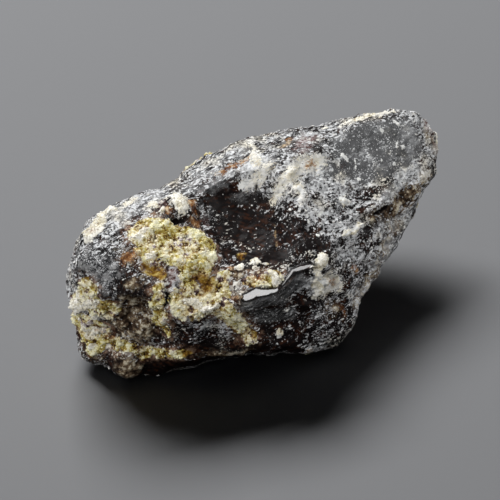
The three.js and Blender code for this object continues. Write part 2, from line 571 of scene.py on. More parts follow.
# %% [markdown]
# ## The sides that the camera doesn't see
#
# Strokes only reach what the camera sees. The back and the underside get the same finishes from
# noise: a patch lies wherever the noise is above a level. Such a patch is given a depth too, as if it
# were a stroke, so the relief and the materials need to know nothing about it. Behind the camera's
# edge the patches deepen slowly, so that none of them cuts into the drawn side.

# %% Patches on the hidden sides
TURN_START = 0.18  # how far behind the camera's edge the patches begin
TURN_REACH = 6.0  # how fast they may deepen from there, in mm
# Patch size in mm, noise level, where the noise starts
HIDDEN_PATCHES = {
    "crust": (9.0, 0.36, (3, 1, 7)),
    "olive": (6.0, 0.10, (8, 2, 1)),
    "white": (5.0, 0.48, (1, 9, 4)),
    "dark": (10.0, 0.15, (5, 5, 2)),
    "earth": (8.0, 0.12, (2, 6, 9)),
    "satin_and_sheen": (12.0, 0.25, (7, 3, 3)),
    "rust": (3.0, 0.62, (4, 8, 6)),
    "mauve": (6.0, 0.35, (6, 4, 5)),
}


def corners_in_mm(mesh):
    flat = np.empty(len(mesh.vertices) * 3, dtype=np.float32)
    mesh.vertices.foreach_get("co", flat)
    return flat.reshape(-1, 3) / MM


def behind_camera_edge(mesh):
    """How far the skin has turned away from the camera: 0 where it is seen, rising behind."""
    normals = np.array([v.normal for v in mesh.vertices])
    away = -normals @ np.array(TOWARDS_CAMERA) - TURN_START
    return np.clip(away * TURN_REACH, 0, None)


def noise_at(points, size, start):
    """Smooth noise from -1 to 1, over features of about this size in mm."""
    return np.array([noise.noise(Vector(p) / size + Vector(start)) for p in points])


def with_patches(depth, size, level, start):
    """A finish's depths, with its patches on the hidden sides added."""
    patches = (noise_at(skin_points, size, start) - level) * size
    return np.where(hidden > 0, np.maximum(depth, np.minimum(patches, hidden)), depth)


skin_points = corners_in_mm(skin.data)
hidden = behind_camera_edge(skin.data)
print(f"hidden from the camera: {100 * np.mean(hidden > 0):.0f}% of the skin")

# %% [markdown]
# ## The depths stored on the skin
#
# Now each finish's depths are worked out for every vertex and stored as an attribute of the mesh,
# where Geometry Nodes and materials can both read them. Most finishes are read at points pushed
# about by noise, which frays their edges. The lip, the chips and the vein keep clean edges.

# %% All depths stored
CLEAN_EDGED = ("ledge", "chip", "vein")


def store(mesh, name, values):
    layer = mesh.attributes.new(name, "FLOAT", "POINT")
    layer.data.foreach_set("value", values.astype(np.float32))


frayed_points = frayed(skin_points)
STROKES = {**CRUST_STROKES, **WHITE_STROKES, **BARE_STROKES, **SOIL_STROKES}
for finish, strokes in STROKES.items():
    depth = deepest(skin_points if finish in CLEAN_EDGED else frayed_points, strokes)
    if finish in HIDDEN_PATCHES:
        depth = with_patches(depth, *HIDDEN_PATCHES[finish])
    store(skin.data, finish, depth)
    print(f"{finish}: over {100 * np.mean(depth > 0):.1f}% of the skin")

# %% [markdown]
# ## How much powder lies where
#
# Powdered resin and clay have settled on the lump like flour. It shows in three ways: a thin film of
# dust, specks about 0.1 mm wide, and flakes about 0.4 mm wide. Each zone below sets what share of the
# surface each of the three covers, inside a stroke. The zones are laid down in order, each over the
# ones before it, as a painter lays a wash first and the accents last. Some zones paint light and shade
# instead of powder: the broad lower washes and the zones along the bottom edge thin the powder so that
# the lower parts stay dark, which is painted shade, and a soft dust film on the hollow's upper rim and
# in the glassy pocket is painted sheen.

# %% Powder zones
POWDER = ("dust_and_sheen", "specks", "flakes")
POWDER_EVERYWHERE = (0.35, 0.20, 0.50)
# Each zone: the three shares, how softly it ends in mm, and a stroke
POWDER_SHADE_AND_SHEEN_ZONES = [
    # These two broad washes give the lower parts less powder, darker towards the bottom: painted shade
    ((0.05, 0.15, 0.16), 3.0, [(100, 300, 30), (150, 330, 30), (230, 330, 35), (340, 310, 30)]),
    ((0.10, 0.20, 0.30), 3.0, [(150, 250, 30), (230, 240, 40), (340, 240, 40)]),
    ((0.54, 0.30, 0.70), 1.2, [(98, 228, 12), (120, 218, 12)]),
    ((0.52, 0.24, 0.58), 1.2, [(128, 208, 11), (140, 204, 12), (160, 196, 10)]),
    ((0.41, 0.19, 0.54), 1.2, [(172, 186, 9), (200, 176, 10), (240, 152, 10)]),
    ((0.15, 0.15, 0.30), 1.0, [(110, 250, 7), (134, 228, 6), (158, 208, 5), (196, 194, 5)]),
    ((0.32, 0.15, 0.38), 1.5, [(246, 160, 16), (290, 146, 20), (318, 146, 16)]),
    ((0.70, 0.40, 0.92), 1.5, [(252, 166, 11), (264, 160, 8)]),
    ((0.25, 0.26, 0.72), 1.5, [(276, 182, 9), (300, 168, 12), (318, 164, 9)]),
    ((0.50, 0.20, 0.50), 1.5, [(270, 146, 7), (276, 154, 6)]),
    ((0.28, 0.20, 0.42), 1.2, [(284, 136, 9), (302, 134, 8), (322, 134, 6)]),
    ((0.75, 0.40, 0.80), 1.2, [(318, 168, 10), (326, 178, 7)]),
    ((0.20, 0.34, 0.66), 2.0, [(312, 204, 20), (345, 225, 22), (340, 190, 14)]),
    ((0.08, 0.30, 0.42), 1.5, [(338, 205, 12), (352, 212, 8)]),
    ((0.12, 0.34, 0.48), 1.5, [(334, 250, 22), (356, 265, 14)]),
    ((0.00, 0.13, 0.11), 1.5, [(300, 225, 9), (308, 246, 12), (324, 244, 9)]),
    ((0.26, 0.24, 0.12), 1.5, [(348, 150, 16), (380, 136, 21), (406, 136, 16)]),
    ((0.26, 0.24, 0.12), 1.5, [(346, 168, 14), (382, 160, 18), (408, 156, 12)]),
    ((0.76, 0.36, 0.34), 1.5, [(404, 128, 9), (415, 140, 10), (410, 150, 8)]),
    ((0.35, 0.32, 0.52), 1.5, [(330, 150, 8), (338, 168, 9), (352, 184, 9)]),
    ((0.12, 0.28, 0.36), 1.5, [(366, 188, 10), (378, 188, 8)]),
    ((0.47, 0.32, 0.67), 1.0, [(390, 190, 8), (404, 179, 9), (425, 160, 9)]),
    ((0.50, 0.25, 0.50), 1.0, [(420, 128, 10), (430, 155, 8)]),
    ((0.00, 0.08, 0.06), 1.0, [(214, 200, 11), (238, 196, 16), (262, 205, 13)]),
    # A soft dust film on the hollow's upper rim: a painted sheen, the soft grey of a reflection
    ((0.54, 0.06, 0.04), 2.5, [(204, 191, 5), (222, 186, 6), (242, 190, 5)]),
    ((0.00, 0.09, 0.04), 1.0, [(232, 222, 18), (262, 232, 19), (286, 240, 12)]),
    ((0.00, 0.05, 0.03), 1.0, [(228, 250, 10), (270, 256, 10), (294, 260, 8)]),
    # On the glassy pocket the soft dust film is partly a painted sheen; the specks and flakes are powder
    ((0.38, 0.14, 0.05), 0.7, [(246, 308, 7), (262, 303, 10), (285, 298, 11), (300, 280, 9)]),
    ((0.00, 0.24, 0.10), 1.0, [(262, 322, 10), (292, 318, 10)]),
    # Along the bottom edge these zones leave nearly bare black resin: painted shade under the overhang
    ((0.00, 0.14, 0.08), 1.0, [(215, 348, 10), (250, 345, 12), (290, 342, 12)]),
    ((0.00, 0.04, 0.01), 1.0, [(186, 346, 7), (200, 348, 8), (220, 350, 8), (240, 350, 7)]),
    ((0.00, 0.06, 0.04), 1.0, [(215, 226, 7), (222, 242, 7)]),
    ((0.00, 0.10, 0.10), 0.7, [(234, 272, 7)]),
    ((0.00, 0.05, 0.04), 0.7, [(236, 250, 8), (246, 250, 6)]),
    ((0.00, 0.30, 0.22), 0.7, [(290, 262, 6), (304, 258, 5)]),
    ((0.05, 0.12, 0.12), 1.0, [(76, 330, 6), (80, 345, 8), (92, 357, 8)]),
    ((0.08, 0.34, 0.46), 1.0, [(192, 322, 8), (214, 326, 10), (232, 334, 6)]),
    ((0.02, 0.26, 0.18), 1.5, [(315, 325, 16), (338, 305, 12)]),
    ((0.06, 0.34, 0.30), 1.5, [(322, 336, 9), (340, 326, 9)]),
    ((0.60, 0.30, 0.70), 1.2, [(310, 288, 6), (322, 288, 8), (334, 284, 8)]),
    ((0.40, 0.30, 0.56), 1.2, [(350, 292, 7), (358, 308, 7)]),
    ((0.00, 0.16, 0.10), 1.0, [(336, 310, 7), (342, 318, 6)]),
    ((0.00, 0.16, 0.08), 1.5, [(122, 290, 22), (140, 312, 22), (135, 335, 14), (112, 330, 12)]),
    ((0.00, 0.06, 0.03), 1.2, [(122, 288, 9), (140, 286, 8), (152, 292, 6)]),
    ((0.03, 0.29, 0.10), 1.0, [(88, 262, 14), (108, 268, 18), (120, 258, 10)]),
    # The underside's edge is kept almost free of powder: painted shade
    ((0.00, 0.06, 0.01), 1.0, [(112, 362, 12), (128, 370, 14), (150, 364, 10), (180, 354, 7)]),
    ((0.00, 0.06, 0.01), 0.7, [(180, 350, 6), (206, 348, 9), (250, 350, 8), (300, 350, 6)]),
    (
        (0.00, 0.03, 0.00),
        1.0,
        [(128, 374, 6), (150, 370, 10), (190, 361, 14), (222, 357, 14), (250, 356, 8)],
    ),
    ((0.10, 0.15, 0.15), 1.0, [(374, 217, 7), (392, 208, 7), (410, 194, 7)]),
    ((0.50, 0.20, 0.40), 1.5, [(396, 228, 10), (384, 252, 12), (364, 294, 14)]),
    ((0.65, 0.30, 0.80), 0.4, [(115, 212, 2), (149, 193, 2), (190, 174, 2), (233, 153, 2)]),
    ((0.65, 0.30, 0.80), 0.4, [(233, 153, 2), (252, 142, 2), (277, 136, 2), (321, 134, 2)]),
    (
        (0.60, 0.20, 0.60),
        0.5,
        [(371, 208, 3), (387, 192, 3), (402, 180, 3), (422, 168, 3), (431, 160, 3)],
    ),
]
print("powder zones:", len(POWDER_SHADE_AND_SHEEN_ZONES))

# %% [markdown]
# ## How powder settles on the hidden sides
#
# The zones end where the camera's view ends. Behind that edge the powder lies thick and thin by
# noise, and there is less of it on faces that look down, as nothing settles on them.

# %% Powder shares stored on the skin
DRIFT_SIZE, DRIFT_START = 7.0, (2, 3, 5)  # size of the thick and thin places in mm, and their start
DRIFT_STRENGTH = 1.8
UPRIGHT_SHARE = 0.55  # the share of the powder that an upright face keeps
SHARE_BY_SLOPE = 0.45  # how much more a face keeps that looks up, or less one that looks down


def powder_shares(points):
    """Three numbers for each point: the shares covered by dust, specks and flakes."""
    shares = np.tile(POWDER_EVERYWHERE, (len(points), 1))
    for zone, softness, stroke in POWDER_SHADE_AND_SHEEN_ZONES:
        inside = np.clip(depth_in_stroke(points, stroke) / softness + 0.5, 0, 1)
        shares += (np.array(zone) - shares) * inside[:, None]
    return shares


def settled(shares):
    """The shares made thick and thin, and thinner underneath, on the hidden sides."""
    turned = np.minimum(hidden, 1)[:, None]
    upwards = np.array([v.normal.z for v in skin.data.vertices])[:, None]
    kept = np.clip(UPRIGHT_SHARE + SHARE_BY_SLOPE * upwards, 0, 1)
    drift = noise_at(skin_points, DRIFT_SIZE, DRIFT_START)[:, None] * turned
    shares = shares * (1 + (kept - 1) * turned)
    return np.clip(shares * (1 + DRIFT_STRENGTH * drift), 0, 1)


for name, share in zip(POWDER, settled(powder_shares(frayed_points)).T):
    store(skin.data, name, share)
    print(f"{name}: on {100 * share.mean():.0f}% of the skin")

# %% [markdown]
# ## A shorthand for node trees
#
# The skin's relief, the crumbs and the materials are all node trees. They could be wired up by hand
# in the node editor, but a script that writes them can be read and changed. One small class keeps
# that short: each call adds a node, fills or wires its inputs, and hands back its output, so a tree
# reads like a formula.

# %% Node helper
class Graph:
    """Adds nodes to a tree. A value is a number, a tuple or another node's output."""

    def __init__(self, tree):
        self.tree = tree

    def add(self, kind, inputs, **settings):
        made = self.tree.nodes.new(kind)
        for name, value in settings.items():
            setattr(made, name, value)
        for key, value in inputs.items():
            self.feed(value, made.inputs[key])
        return made

    def feed(self, value, socket):
        if isinstance(value, bpy.types.NodeSocket):
            self.tree.links.new(value, socket)
        else:
            socket.default_value = value

    def node(self, kind, inputs, output=0, **settings):
        return self.add(kind, inputs, **settings).outputs[output]

    def math(self, operation, a, b=0.0, c=0.0):
        return self.node("ShaderNodeMath", {0: a, 1: b, 2: c}, operation=operation)

    def weighted(self, *parts):
        """The sum of values, each times its weight."""
        total = self.math("MULTIPLY", *parts[0])
        for value, weight in parts[1:]:
            total = self.math("MULTIPLY_ADD", value, weight, total)
        return total

    def product(self, first, *others):
        for other in others:
            first = self.math("MULTIPLY", first, other)
        return first

    def largest(self, first, *others):
        for other in others:
            first = self.math("MAXIMUM", first, other)
        return first

    def rest(self, share):
        """What a share leaves of 1."""
        return self.math("SUBTRACT", 1, share)

    def step(self, value, low, high):
        """0 below low, 1 above high, and a smooth rise between them."""
        inputs = {"Value": value, "From Min": low, "From Max": high}
        return self.node("ShaderNodeMapRange", inputs, interpolation_type="SMOOTHSTEP")

    def fit(self, value, low, high, to_low=0.0, to_high=1.0):
        """to_low below low, to_high above high, and a straight rise between them."""
        inputs = {"Value": value, "From Min": low, "From Max": high}
        inputs.update({"To Min": to_low, "To Max": to_high})
        return self.node("ShaderNodeMapRange", inputs)

    def vector(self, operation, a, b=(0, 0, 0), output=0):
        return self.node("ShaderNodeVectorMath", {0: a, 1: b}, output, operation=operation)

    def scaled(self, vector, factor):
        inputs = {0: vector, "Scale": factor}
        return self.node("ShaderNodeVectorMath", inputs, operation="SCALE")

    def along(self, axis, vector):
        """One of a vector's numbers: axis 0 for x, 1 for y, 2 for z."""
        return self.node("ShaderNodeSeparateXYZ", {0: vector}, axis)


print("kinds of step in the helper:", len([name for name in vars(Graph) if name[0] != "_"]))

# %% [markdown]
# ## Patterns from noise and cells
#
# Two textures make nearly everything on this lump. Noise is cloudy and has no edges. Cells divide
# space round random points, and their edges are sharp. The helper learns a few ways to use them, and
# how to turn a number into a colour.

# %% Patterns
SHARE, FIRST, SECOND, MIXED = 0, 6, 7, 2  # the sockets that a Mix node uses for colours


class Patterns(Graph):
    """Adds noise, cells, rings and colours to the node helper."""

    def noise(self, place, size, detail, roughness):
        """Cloudy noise from 0 to 1 with lumps of about this size."""
        inputs = {"Vector": place, "Scale": 1 / size, "Detail": detail, "Roughness": roughness}
        return self.node("ShaderNodeTexNoise", inputs)

    def sway(self, place, size, detail, roughness):
        """The same noise, but centred on 0."""
        return self.math("SUBTRACT", self.noise(place, size, detail, roughness), 0.5)

    def swirled(self, place, scale, reach, still=0.5):
        """The place pushed about by noise; noise of the value still doesn't push."""
        swirl = self.node("ShaderNodeTexNoise", {"Vector": place, "Scale": scale}, "Color")
        swirl = self.vector("SUBTRACT", swirl, (still,) * 3)
        return self.vector("ADD", place, self.scaled(swirl, reach))

    def rings(self, place, middle, pitch, wobble=0.0):
        """Waves from -1 to 1 that run in rings round a place; wobble bends them."""
        away = self.vector("DISTANCE", place, middle, "Value")
        away = self.math("ADD", away, wobble)
        return self.math("SINE", self.math("MULTIPLY", away, 2 * math.pi / pitch))

    def cells(self, place, size, output="Distance"):
        """How far a point is from the middle of its cell, in cells of about this size."""
        return self.node("ShaderNodeTexVoronoi", {"Vector": place, "Scale": 1 / size}, output)

    def grains(self, place, size):
        """A different random number in each cell of about this size."""
        return self.node("ShaderNodeSeparateColor", {0: self.cells(place, size, "Color")})

    def mix(self, share, first, second):
        """The first colour where share is 0, the second where it is 1."""
        inputs = {SHARE: share, FIRST: first, SECOND: second}
        return self.node("ShaderNodeMix", inputs, MIXED, data_type="RGBA")

    def palette(self, value, stops):
        """A colour ramp over value with these (position, colour) stops."""
        ramp = self.add("ShaderNodeValToRGB", {0: value})
        elements = ramp.color_ramp.elements
        while len(elements) < len(stops):
            elements.new(0.5)
        for element, (position, colour) in zip(elements, stops):
            element.position = position
            element.color = (*colour, 1)
        return ramp.outputs[0]


def new_sockets(tree, in_out, sockets):
    for name, kind in sockets.items():
        tree.interface.new_socket(name, in_out=in_out, socket_type="NodeSocket" + kind)


def new_tree(name, kind, inputs, outputs):
    """A new tree with named inputs and outputs; returns its graph and what it is given."""
    tree = bpy.data.node_groups.new(name, kind)
    new_sockets(tree, "INPUT", inputs)
    new_sockets(tree, "OUTPUT", outputs)
    return Patterns(tree), tree.nodes.new("NodeGroupInput").outputs


print("kinds of pattern:", len([name for name in vars(Patterns) if name[0] != "_"]))

# %% [markdown]
# ## Bites
#
# Resin breaks like glass, in shallow shell-shaped bites with sharp rims. A large ball makes a flat
# facet and a small one a pit, so one list holds them all. Those that the camera sees are given by a
# pixel, like the strokes. Those on the hidden sides are found by a ray from outside instead.

# %% Where the bites are
# Bites that the camera sees: pixel, ball radius in mm, depth in mm
BITES = {
    "hollow": (250, 226, 9.0, 0.9),
    "hollow right": (276, 240, 6.0, 0.6),
    "hollow left": (234, 250, 5.0, 0.8),
    "hollow top": (232, 200, 6.0, 0.5),
    "pocket": (262, 316, 7.0, 0.9),
    "pocket right": (292, 296, 5.0, 0.9),
    "pocket foot": (285, 328, 8.0, 0.6),
    "chip": (206, 330, 9.0, 0.55),
    "dark hole": (177, 221, 1.2, 0.8),
    "honey window": (208, 285, 1.4, 0.5),
    "honey window top": (193, 272, 0.9, 0.4),
    "olive window": (151, 270, 1.6, 0.5),
    "end bite": (142, 303, 6.0, 0.9),
    "crest pit": (184, 181, 2.0, 0.25),
    "satin facet": (370, 150, 60.0, 0.6),
    "flank facet": (392, 225, 24.0, 0.6),
    "belly facet": (335, 315, 14.0, 0.5),
    "speckled facet": (335, 222, 26.0, 0.5),
    "end facet": (95, 272, 16.0, 0.5),
}
# Bites on the hidden sides: azimuth in degrees, height, ball radius and depth in mm
HIDDEN_BITES = [
    (70, 13, 12.0, 0.9),
    (95, 8, 9.0, 0.8),
    (112, 17, 16.0, 0.8),
    (135, 10, 14.0, 1.0),
    (155, 19, 9.0, 0.7),
    (170, 7, 8.0, 0.8),
    (185, 15, 7.0, 0.7),
    (40, 14, 12.0, 0.6),
    (15, 11, 8.0, 0.6),
]
OUTSIDE = 100  # a ray to the hidden sides starts this far out, in mm


def spot_round(azimuth, height):
    """The place on the skin, in mm, seen from this azimuth at this height."""
    turn = math.radians(azimuth)
    inwards = -Vector((math.cos(turn), math.sin(turn), 0))
    start = Vector((0, 0, height)) - OUTSIDE * inwards
    return np.array(skin_tree.ray_cast(start * MM, inwards)[0]) / MM


def all_bites():
    """Each bite's place on the skin, ball radius and depth, in mm."""
    seen = [(spot(x, y), radius, depth) for x, y, radius, depth in BITES.values()]
    unseen = [(spot_round(turn, high), radius, depth) for turn, high, radius, depth in HIDDEN_BITES]
    return seen + unseen


print("bites:", len(all_bites()), "of which", len(HIDDEN_BITES), "on the hidden sides")

# %% [markdown]
# ## Pressing a bite in
#
# Bites could be sculpted by hand, but then nothing could be adjusted later. Here a bite is a ball
# pressed in along the skin's own normal. A node group moves each point inside the ball onto its
# floor, so the floor is a true sphere however coarse the mesh is. Noise bends that floor a little, as
# real breaks aren't perfect.

# %% The node group that presses a bite
WAVE_PITCH = 0.26  # waves per mm in the floor of a bite
WAVE_SHARE, LARGEST_WAVE = 0.3, 1.4  # their reach: a share of the radius, up to this many mm


def bite_group():
    """A node group: pushes the points inside a ball onto its floor, along an axis."""
    sockets = {"Geometry": "Geometry", "Centre": "Vector", "Axis": "Vector"}
    sockets.update({"Radius": "Float", "Waviness": "Float"})
    g, given = new_tree("Bite", "GeometryNodeTree", sockets, {"Geometry": "Geometry"})
    place = g.node("GeometryNodeInputPosition", {})
    place = g.swirled(place, WAVE_PITCH / MM, given["Waviness"])
    out = g.vector("SUBTRACT", place, given["Centre"])
    height = g.vector("DOT_PRODUCT", out, given["Axis"], "Value")
    reach = g.math("MULTIPLY", given["Radius"], given["Radius"])
    inside = g.math("SUBTRACT", reach, g.vector("DOT_PRODUCT", out, out, "Value"))
    root = g.math("SQRT", g.math("MULTIPLY_ADD", height, height, inside))
    push = g.math("MULTIPLY", g.math("ADD", height, root), -1)
    inputs = {"Geometry": given["Geometry"], "Offset": g.scaled(given["Axis"], push)}
    inputs["Selection"] = g.math("GREATER_THAN", inside, 0)
    g.add("NodeGroupOutput", {"Geometry": g.node("GeometryNodeSetPosition", inputs)})
    return g.tree


def outward(at):
    """The skin's normal at the point nearest to a place given in mm."""
    return np.array(skin_tree.find_nearest(Vector(at) * MM)[1])


def bitten(g, body):
    """The geometry after every bite."""
    for at, radius, depth in all_bites():
        axis = outward(at)
        centre = at + axis * (radius - depth)
        inputs = {"Geometry": body, "Centre": tuple(centre * MM), "Axis": tuple(axis)}
        wave = min(WAVE_SHARE * radius, LARGEST_WAVE)
        inputs.update({"Radius": radius * MM, "Waviness": wave * MM})
        body = g.node("GeometryNodeGroup", inputs, node_tree=pressed_bite)
    return body


pressed_bite = bite_group()
print("nodes that press a bite:", len(pressed_bite.nodes))

# %% [markdown]
# ## The pocket's lip
#
# Under the crust the pocket ends in a glassy lip, which shines as one bright, crooked band. It is two
# narrow shelves, each a plane turned so that it mirrors the key softbox into the camera. The skin
# slides onto that plane along the line of sight, which keeps the lip's outline where it was drawn. A
# plane cut into the mesh would give the same shine, but its edge would move with every change.

# %% The node group that slides a shelf
def shelf_group():
    """A node group: slides points along the line of sight onto a plane."""
    sockets = {"Geometry": "Geometry", "Centre": "Vector", "Axis": "Vector"}
    sockets.update({"Eye": "Vector", "Within": "Float"})
    g, given = new_tree("Shelf", "GeometryNodeTree", sockets, {"Geometry": "Geometry"})
    place = g.node("GeometryNodeInputPosition", {})
    sight = g.vector("NORMALIZE", g.vector("SUBTRACT", given["Eye"], place))
    out = g.vector("SUBTRACT", place, given["Centre"])
    above = g.vector("DOT_PRODUCT", out, given["Axis"], "Value")
    facing = g.vector("DOT_PRODUCT", sight, given["Axis"], "Value")
    slide = g.math("MULTIPLY", g.math("DIVIDE", above, facing), given["Within"])
    offset = g.scaled(sight, g.math("MULTIPLY", slide, -1))
    inputs = {"Geometry": given["Geometry"], "Offset": offset}
    g.add("NodeGroupOutput", {"Geometry": g.node("GeometryNodeSetPosition", inputs)})
    return g.tree


slid_shelf = shelf_group()
print("nodes that slide a shelf:", len(slid_shelf.nodes))

# %% [markdown]
# ## Where the shelves stand
#
# The left shelf is the broader and brighter one. The right shelf rises steeply to the white lump, and
# it leans a little towards the eye, so that its shine is dimmer. The mirror angle needn't be
# found by trial: a mirror's normal lies halfway between the light and the eye.

# %% Shelves of the lip
# Each shelf: pixels of its middle, its left end and its right end, how far forwards it stands in mm,
# and how far it leans from the mirror angle towards the eye, which dims its reflection
SHELVES = [
    ((262, 293), (240, 300), (279, 289), 1.2, 0.0),
    ((296, 274), (279, 289), (318, 263), 1.1, 0.16),
]
SHELF_RIM = (-0.06, 0.04)  # the depths in a ledge stroke, in mm, between which a shelf starts


def named(g, name):
    """A number that the skin stores at each point, for Geometry Nodes."""
    return g.node("GeometryNodeInputNamedAttribute", {"Name": name})


def between(g, left, right):
    """1 where x lies between two pixels' places on the skin."""
    x = g.along(0, g.node("GeometryNodeInputPosition", {}))
    past_left = g.math("GREATER_THAN", x, spot(*left)[0] * MM)
    return g.math("MULTIPLY", past_left, g.math("LESS_THAN", x, spot(*right)[0] * MM))


def shelved(g, body):
    """The geometry after every shelf of the lip."""
    eye = bpy.context.scene.camera.location
    for middle, left, right, forwards, lean in SHELVES:
        centre = Vector(spot(*middle)) * MM
        sight = (eye - centre).normalized()
        axis = (sight * (1 + lean) + Vector(KEY_DIRECTION).normalized()).normalized()
        centre += forwards * MM * sight
        within = g.product(g.step(named(g, "ledge"), *SHELF_RIM), between(g, left, right))
        inputs = {"Geometry": body, "Centre": tuple(centre), "Axis": tuple(axis)}
        inputs.update({"Eye": tuple(eye), "Within": within})
        body = g.node("GeometryNodeGroup", inputs, node_tree=slid_shelf)
    return body


print("shelves of the lip:", len(SHELVES))

# %% [markdown]
# ## Which relief lies where
#
# On top of the bites, each finish has a relief of its own. Crust stands up in crumbs, with gaps
# where it has fallen off. Packed white powder swells into a low dome. Cracks are sunk and chips
# stand up a little. Plain resin is uneven and covered with small shell-shaped breaks, glassy and
# satin breaks are smooth, and the lip has no relief at all, so that it can mirror the light.
#
# The stored depths say where each finish lies. A share from 0 to 1 is made of each depth, and noise
# is added first, so that the edge is torn instead of soft.

# %% Shares of each finish's relief
# The depths in a stroke, in mm, at which a finish's relief starts and is full, and how far noise
# tears its edge
RELIEF_EDGES = {
    "crust": (-0.55, 0.0, 2.4),
    "white": (-0.25, 0.2, 3.0),
    "earth": (-0.6, 0.6, 2.5),
    "crack": (-0.15, 0.25, 0.0),
    "chip": (-0.1, 0.05, 0.0),
    "ledge": (-0.4, -0.1, 0.0),
    "glass": (-0.3, 0.3, 0.0),
    "satin_and_sheen": (-1.0, 0.5, 0.0),
    "dark": (-0.4, 0.4, 0.0),
}
TEARS = (1.5, 4, 0.7)  # noise: size in mm, detail, roughness
CRUST_LIMIT = 0.12  # a crust counts as no deeper than this, so noise tears gaps all over it
DARK_SMOOTHNESS = 0.5  # glassy and satin breaks have 1


def torn_shares(g, place):
    """How much of each finish lies at a point, from 0 to 1, with torn edges."""
    torn = g.sway(place, *TEARS)
    shares = {}
    for name, (low, high, tear) in RELIEF_EDGES.items():
        depth = named(g, name)
        if name == "crust":
            depth = g.math("MINIMUM", depth, CRUST_LIMIT)
        shares[name] = g.step(g.math("MULTIPLY_ADD", torn, tear, depth), low, high)
    dark = g.math("MULTIPLY", shares["dark"], DARK_SMOOTHNESS)
    smooth = g.largest(shares["glass"], shares["satin_and_sheen"], dark, shares["ledge"])
    shares["plain"] = g.rest(smooth)
    return shares


print("finishes with a relief:", ", ".join(RELIEF_EDGES))

# %% [markdown]
# ## The shapes of the relief
#
# A crumbly crust isn't smooth like noise: it is made of grains with flat sides and sharp gaps. Cells
# give such grains, and clouds of noise heap them up. A shell-shaped break is a cell too, deep in the
# middle and with a ridge where it meets its neighbour.

# %% Rubble, shells and ripples
LUMP_SIZE, CRUMB_SIZE = 1.3, 0.6
LUMP_LEVEL, CRUMB_LEVEL = 0.7, 0.6  # nearer to a cell's middle than this, in cell sizes, is raised
RUBBLE_WEIGHTS = (0.5, 0.3, 2.2, 0.6)  # of lumps, crumbs, clouds and fine noise
# Noises: size in mm, detail, roughness
CLOUD_NOISE = (1.7, 4, 0.6)
FINE_NOISE = (0.55, 3, 0.7)
SWELL_NOISE = (4.5, 3, 0.5)
SHELL_SIZE, SMALL_SHELL_SIZE = 3.6, 1.5
SMALL_SHELLS = 0.45  # the depth of small shells as a share of that of the large ones
SHELL_SINK = 0.25  # taken off all shells, so that their middles are sunk and their ridges raised
SHELL_SWIRLS, SHELL_BEND = 0.5, 2.0  # swirls per mm and how far they bend the shells, in mm
UNEVEN_WEIGHTS = (4, 2.5)  # of swells and clouds
FINE_WEIGHT = 2
RIPPLE_START = tuple(spot(286, 306))  # the glassy break's ripples run round this place
RIPPLE_PITCH = 0.8


def rubble_shape(g, place):
    """Angular lumps and crumbs, heaped up by clouds of noise."""
    lumps = g.math("SUBTRACT", LUMP_LEVEL, g.cells(place, LUMP_SIZE))
    crumbs = g.math("SUBTRACT", CRUMB_LEVEL, g.cells(place, CRUMB_SIZE))
    cloud, fine = g.sway(place, *CLOUD_NOISE), g.sway(place, *FINE_NOISE)
    return g.weighted(*zip((lumps, crumbs, cloud, fine), RUBBLE_WEIGHTS))


def shell_shape(g, place):
    """Large and small shell-shaped breaks side by side."""
    bent = g.swirled(place, SHELL_SWIRLS, SHELL_BEND, still=0)
    large = g.math("POWER", g.cells(bent, SHELL_SIZE), 2)
    small = g.math("POWER", g.cells(bent, SMALL_SHELL_SIZE), 2)
    return g.math("SUBTRACT", g.weighted((small, SMALL_SHELLS), (large, 1)), SHELL_SINK)


def plain_shape(g, place, given):
    """The unevenness, the shell-shaped breaks and the fine grain of plain resin."""
    swell, cloud = g.sway(place, *SWELL_NOISE), g.sway(place, *CLOUD_NOISE)
    fine = g.math("MULTIPLY", g.sway(place, *FINE_NOISE), FINE_WEIGHT)
    return g.weighted(
        (g.weighted(*zip((swell, cloud), UNEVEN_WEIGHTS)), given["Unevenness"]),
        (shell_shape(g, place), given["Shell Depth"]),
        (fine, given["Powder Height"]),
    )


print("ripples run round", np.round(RIPPLE_START, 1), "mm")

# %% [markdown]
# ## One height for all the relief
#
# All the reliefs are summed to one height along the skin's normal. A height painted in a bump map
# would be lighter, but it would leave the outline smooth, and a crumbly crust is seen best at the
# outline.

# %% Height of the relief
# Heights in mm, each an input of the skin's tree
RELIEF_SIZES = {
    "Crust Height": 0.12,
    "Crumb Height": 0.85,
    "White Height": 0.40,
    "White Dome": 0.45,
    "Earth Height": 0.45,
    "Crack Depth": 0.6,
    "Chip Thickness": 0.12,
    "Unevenness": 0.30,
    "Shell Depth": 0.55,
    "Powder Height": 0.14,
    "Ripple Height": 0.03,
}
RIPPLED = (0, 0.5)  # the depths in a glassy break, in mm, at which its ripples start and are full
DOMED = (-0.3, 1.2)  # the depths in a white stroke at which its dome starts and is full
WHITE_LIFT = 0.3  # keeps the white rubble above the skin
BASE_FADE = (0.1, 1.2)  # the relief fades out between these heights, so the base stays flat


def relief_height(g, place, shares, rubble, given):
    """The height of all finishes together, in mm, along the skin's normal."""
    crust, white = shares["crust"], shares["white"]
    dome = g.step(named(g, "white"), *DOMED)
    ripples = g.product(g.step(named(g, "glass"), *RIPPLED), g.rings(place, RIPPLE_START, RIPPLE_PITCH))
    height = g.weighted(
        (crust, given["Crust Height"]),
        (g.product(crust, rubble), given["Crumb Height"]),
        (g.product(white, g.math("ADD", rubble, WHITE_LIFT)), given["White Height"]),
        (g.product(white, dome), given["White Dome"]),
        (g.product(shares["earth"], rubble), given["Earth Height"]),
        (g.product(shares["crack"], -1), given["Crack Depth"]),
        (shares["chip"], given["Chip Thickness"]),
        (shares["plain"], plain_shape(g, place, given)),
        (ripples, given["Ripple Height"]),
    )
    return g.product(height, g.step(g.along(2, place), *BASE_FADE), g.rest(shares["ledge"]))


